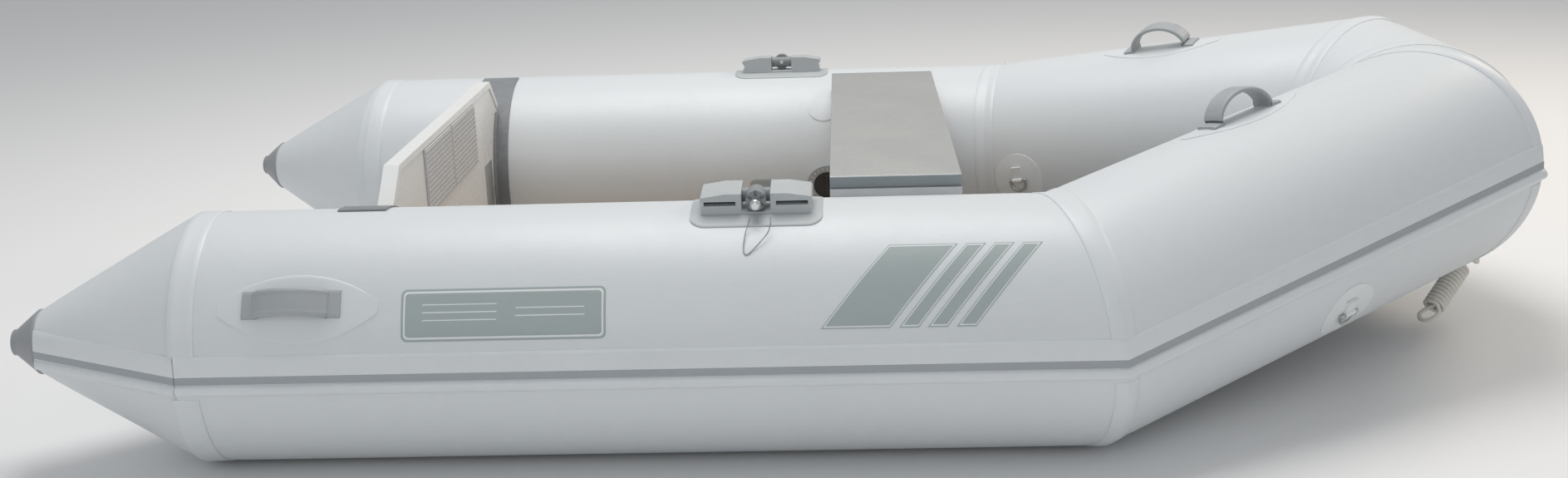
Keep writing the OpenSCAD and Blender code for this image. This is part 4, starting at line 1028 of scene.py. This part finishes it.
def carry_handle(shape, run, s, a, height):
    """A moulded strap handle: flat feet, an arched grip and beads along both edges."""
    origin, along, round_way, out = skin_frame(run, s, a)
    length, foot, thick = 0.134, 0.016, 0.006
    span = length - 2 * foot
    line = []
    for k in range(7):
        t = k / 6
        line.append((-length / 2 + (foot + 0.004) * t, thick * (0.35 + 0.35 * t), 0.0))
    grip = [(-span / 2 * math.cos(math.radians(b)), (height - thick / 2) * math.sin(math.radians(b)))
            for b in range(14, 167, 4)]
    start = len(line)
    line += [(x, h, 1.0) for x, h in grip]
    line += [(-x, h, f) for x, h, f in line[start - 1::-1]]
    widths = np.linspace(-0.019, 0.019, 21)
    drop = [TUBE_R - math.sqrt(TUBE_R ** 2 - w * w) for w in widths]
    top, low = [], []
    for k, (x, h, free) in enumerate(line):
        before, after = line[max(k - 1, 0)], line[min(k + 1, len(line) - 1)]
        tangent = unit([after[0] - before[0], after[1] - before[1]])
        normal = np.array([-tangent[1], tangent[0]])
        ridge = 0.0006 * math.cos(k * math.pi) if free and 3 < k - start < len(grip) - 4 else 0.0
        upper, lower = [], []
        for w, fall in zip(widths, drop):
            share, bead = strap_section(w)
            inside = abs(w) < 0.0115
            half = thick / 2 * share
            lift = half + bead + (ridge if inside else 0)
            for target, sign in ((upper, 1), (lower, -1)):
                if free:
                    q = np.array([x, h]) + normal * sign * (lift if sign > 0 else half)
                else:
                    q = np.array([x, h + lift * 0.5 if sign > 0 else -0.0006])
                rise = 0.0012 + q[1] - fall * (0.6 if free else 1)
                target.append(origin + along * q[0] + out * rise
                              + round_way * w)
        top.append(upper)
        low.append(lower)
    rows = [t + l[::-1] for t, l in zip(top, low)]
    n = len(rows[0])
    base = shape.grid(np.array(rows), wrap_cols=True)
    shape.cap([base + k for k in range(n)])
    shape.cap([base + (len(rows) - 1) * n + k for k in range(n)][::-1])


def handle_piece(name, run, s, a, height, cad_node):
    shape = Shape()
    carry_handle(shape, run, s, a, height)
    shape.mirror()
    piece = shape.build(name, [HANDLE_RUBBER], 60)
    return finish_piece(piece, "hull", "handle_grey", cad_node)


handle_piece("bow_handle_straps", BOW, 0.378, 97, 0.042, "bow_handles")
handle_piece("stern_handle_straps", SIDE, KNEE_X - 0.729, 31, 0.024, "stern_handles")


# ---- cords -----------------------------------------------------------------------------

def eased(points, m):
    """A smooth curve through given points, m steps between each two."""
    p = [np.array(q, float) for q in points]
    made = []
    for i in range(len(p) - 1):
        a, b, c, d = p[max(i - 1, 0)], p[i], p[i + 1], p[min(i + 2, len(p) - 1)]
        for k in range(m):
            t = k / m
            made.append(0.5 * (2 * b + (c - a) * t + (2 * a - 5 * b + 4 * c - d) * t * t
                               + (3 * b - a - 3 * c + d) * t ** 3))
    return np.array(made + [p[-1]])


def even(points, step):
    """The same line with its points evenly spaced."""
    gaps = np.linalg.norm(np.diff(points, axis=0), axis=1)
    at = np.concatenate([[0], np.cumsum(gaps)])
    count = max(2, int(round(at[-1] / step)) + 1)
    s = np.linspace(0, at[-1], count)
    return np.stack([np.interp(s, at, points[:, k]) for k in range(3)], axis=1), at[-1]


def laid_tube(name, line, radius, strands, lay, material, around=14, bare=0.9):
    """A tube along the line whose section has rounded strands that twist along it."""
    count = len(line)
    tangents = np.gradient(line, axis=0)
    tangents /= np.linalg.norm(tangents, axis=1)[:, None]
    side = np.cross(tangents[0], [0, 0, 1.0])
    side = unit(side if np.linalg.norm(side) > 0.05 else [1.0, 0, 0])
    rows, run = [], 0.0
    for i in range(count):
        if i:
            run += np.linalg.norm(line[i] - line[i - 1])
            side = unit(side - tangents[i] * (side @ tangents[i]))
        other = np.cross(tangents[i], side)
        twist = 2 * math.pi * run / lay
        row = []
        for k in range(around):
            b = 2 * math.pi * k / around
            lobe = abs(math.cos(0.5 * strands * (b - twist)))
            r = radius * (bare + (1 - bare) * lobe)
            row.append(line[i] + r * (math.cos(b) * side + math.sin(b) * other))
        rows.append(row)
    shape = Shape()
    base = shape.grid(np.array(rows), wrap_cols=True)
    for first in (True, False):
        i = 0 if first else count - 1
        middle = len(shape.verts)
        away = -tangents[0] if first else tangents[-1]
        shape.verts.append(tuple(line[i] + away * radius * 0.35))
        for k in range(around):
            pair = [base + i * around + k, base + i * around + (k + 1) % around]
            shape.faces.append((pair if first else pair[::-1]) + [middle])
            shape.mats.append(0)
    return shape.build(name, [material], 80)


LANYARD = [[-112, -591, 359], [-115, -600, 350], [-118, -610, 342], [-120, -621, 332], [-120, -633, 322],
           [-115, -636, 319], [-106, -630, 325], [-96, -622, 334], [-88, -614, 342], [-84, -606, 352],
           [-84, -597, 360]]
for side, sign in (("starboard", 1), ("port", -1)):
    route, _ = even(eased(LANYARD, 6) * (0.001, 0.001 * sign, 0.001), 0.0011)
    wire = laid_tube(f"pin_lanyard_{side}_wire", route, 0.0008, 7, 0.008, WIRE_STEEL, 12, 0.88)
    finish_piece(wire, "hull", "wire", f"pin_lanyard_{side}")


ROPE_R = 0.0035
HANK_TOP = np.array([1046, -78, 116]) * 0.001
HANK_LOW = np.array([962, -150, 36]) * 0.001
LEAD = [[1098, 14, 110], [1097, 5, 109], [1095, -7, 107], [1091, -22, 104], [1086, -36, 103],
        [1077, -50, 108], [1067, -62, 116], [1057, -70, 121], [1046, -78, 116]]


def painter_route():
    """Through the eye, into the hank's core, out in a loop below it, and back up round it in turns."""
    lead = eased(np.array(LEAD) * 0.001, 6)
    axis = unit(HANK_LOW - HANK_TOP)
    x = unit(np.cross([0, 0, 1.0], axis))
    y = np.cross(axis, x)
    turns, pitch, wrap_r = 12, 0.0074, 0.0149
    top_z, low_z = 0.012, 0.012 + turns * pitch
    core = [(0, 0, 0.004), (0, 0, 0.012), (0.0005, 0, 0.03), (0.001, 0, 0.05), (0.0005, 0, 0.07),
            (-0.0005, 0, 0.09)]
    loop = [(-0.003, 0, 0.1005), (-0.0085, 0, 0.1095), (-0.0128, 0, 0.1185), (-0.0122, 0.0005, 0.1265),
            (-0.0065, 0.001, 0.1322), (0.0010, 0.0015, 0.1335), (0.0085, 0.002, 0.1305),
            (0.0135, 0.002, 0.1235), (0.0150, 0.001, 0.1155)]
    join = [(0.0150, 0.0035, 0.1090), (0.0132, 0.0075, 0.1055)]
    wraps = []
    begin = math.radians(48)
    steps = 30 * turns
    for k in range(steps + 1):
        a = begin + 2 * math.pi * turns * k / steps
        z = low_z + 0.0015 - pitch * turns * k / steps
        wraps.append((wrap_r * math.cos(a), wrap_r * math.sin(a), z))
    a = begin + 2 * math.pi * turns
    tail = [(wrap_r * math.cos(a + past), wrap_r * math.sin(a + past), top_z - drop)
            for past, drop in ((0.5, 0.0035), (0.95, 0.009))]
    local = eased(core + loop + join, 8)
    local = np.concatenate([local[:-1], eased(join[-1:] + wraps[:1], 3)[:-1], wraps, eased(tail, 4)])
    world = HANK_TOP + local[:, :1] * x + local[:, 1:2] * y + local[:, 2:3] * axis
    return np.concatenate([lead[:-2], world])


def eye_knot():
    """A round stopper knot on the rope's end, behind the eye."""
    centre = np.array([1.0985, 0.0205, 0.1105])
    way = unit([0.1, 1.0, 0.15])
    x = unit(np.cross([0, 0, 1.0], way))
    y = np.cross(way, x)
    ring = []
    for k in range(121):
        t = 2 * math.pi * k / 120
        r = 0.0052 + 0.0026 * math.cos(3 * t)
        ring.append(centre + r * math.cos(2 * t) * x + r * math.sin(2 * t) * y
                    + 0.0034 * math.sin(3 * t) * way)
    line = np.array(ring[:-1])
    return laid_tube("painter_stopper_knot", line, ROPE_R * 0.97, 3, 0.018, ROPE, 14, 0.9)


rope_line, rope_length = even(painter_route(), 0.0016)
painter = laid_tube("painter_rope", rope_line, ROPE_R, 3, 0.021, ROPE, 14, 0.88)
finish_piece(painter, "hull", "rope", "painter_lead", "painter_hank")
knot = eye_knot()
finish_piece(knot, "hull", "rope")


# ---- floor of the boat -----------------------------------------------------------------

refined("floor_sheet", "floor_sheet_cloth", [FLOOR_CLOTH], "floor_grey", bevel=0)
refined("floor_slats", "floor_slat_ply", [PLYWOOD], "ply", bevel=0.0015, segments=3)
refined("floor_straps", "floor_strap_webbing", [STRAP_CLOTH], "webbing_dark", bevel=0.0003)


def slat_screws():
    """A round-headed screw through each strap into each slat."""
    low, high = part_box("floor_slats")
    spots = []
    pitch = 0.136
    for k in range(7):
        x = low.x + 0.055 + k * pitch
        for y in (-0.230, 0.0, 0.230):
            for dx in (-0.03, 0.03):
                spots.append((np.array([x + dx, y, high.z + 0.0016]), np.array([1.0, 0, 0]),
                              np.array([0, 0, 1.0])))
    ribs_at("slat_screw_heads", spots, 0.008, 0.008, 0.003, RING_STEEL, "hull", "ring_steel")


slat_screws()


# ---- studio ----------------------------------------------------------------------------

def make_studio():
    """A pale floor, a soft world light and three large lamps."""
    mesh = bpy.data.meshes.new("studio_floor")
    mesh.from_pydata([(-30, -30, 0), (30, -30, 0), (30, 30, 0), (-30, 30, 0)], [], [(0, 1, 2, 3)])
    material = bpy.data.materials.new("studio_floor_paint")
    material.use_nodes = True
    shader = material.node_tree.nodes["Principled BSDF"]
    shader.inputs["Base Color"].default_value = (0.84, 0.84, 0.84, 1)
    shader.inputs["Roughness"].default_value = 0.9
    shader.inputs["Specular IOR Level"].default_value = 0.1
    mesh.materials.append(material)
    floor = bpy.data.objects.new("studio_floor", mesh)
    COLLECTION.objects.link(floor)
    world = bpy.data.worlds.new("studio_world")
    world.use_nodes = True
    world.node_tree.nodes["Background"].inputs["Color"].default_value = (0.95, 0.975, 1.0, 1)
    world.node_tree.nodes["Background"].inputs["Strength"].default_value = 0.45
    bpy.context.scene.world = world
    for name, place, aim, size, power, colour in (
            ("lamp_over", (-0.2, 0.5, 3.6), (0, 0, 0.2), 2.6, 74, (1.0, 0.985, 0.965)),
            ("lamp_bow", (3.0, 1.6, 2.4), (0.7, 0, 0.3), 1.4, 30, (1.0, 0.86, 0.70)),
            ("lamp_front", (-0.8, -4.5, 2.4), (0, 0, 0.2), 2.4, 20, (0.97, 0.985, 1.0))):
        lamp = bpy.data.lights.new(name, "AREA")
        lamp.shape = "DISK"
        lamp.size = size
        lamp.energy = power
        lamp.color = colour
        holder = bpy.data.objects.new(name, lamp)
        holder.location = place
        holder.rotation_mode = "QUATERNION"
        holder.rotation_quaternion = (Vector(aim) - Vector(place)).to_track_quat("-Z", "Y")
        COLLECTION.objects.link(holder)
    bpy.context.scene.view_settings.view_transform = "Standard"


make_studio()
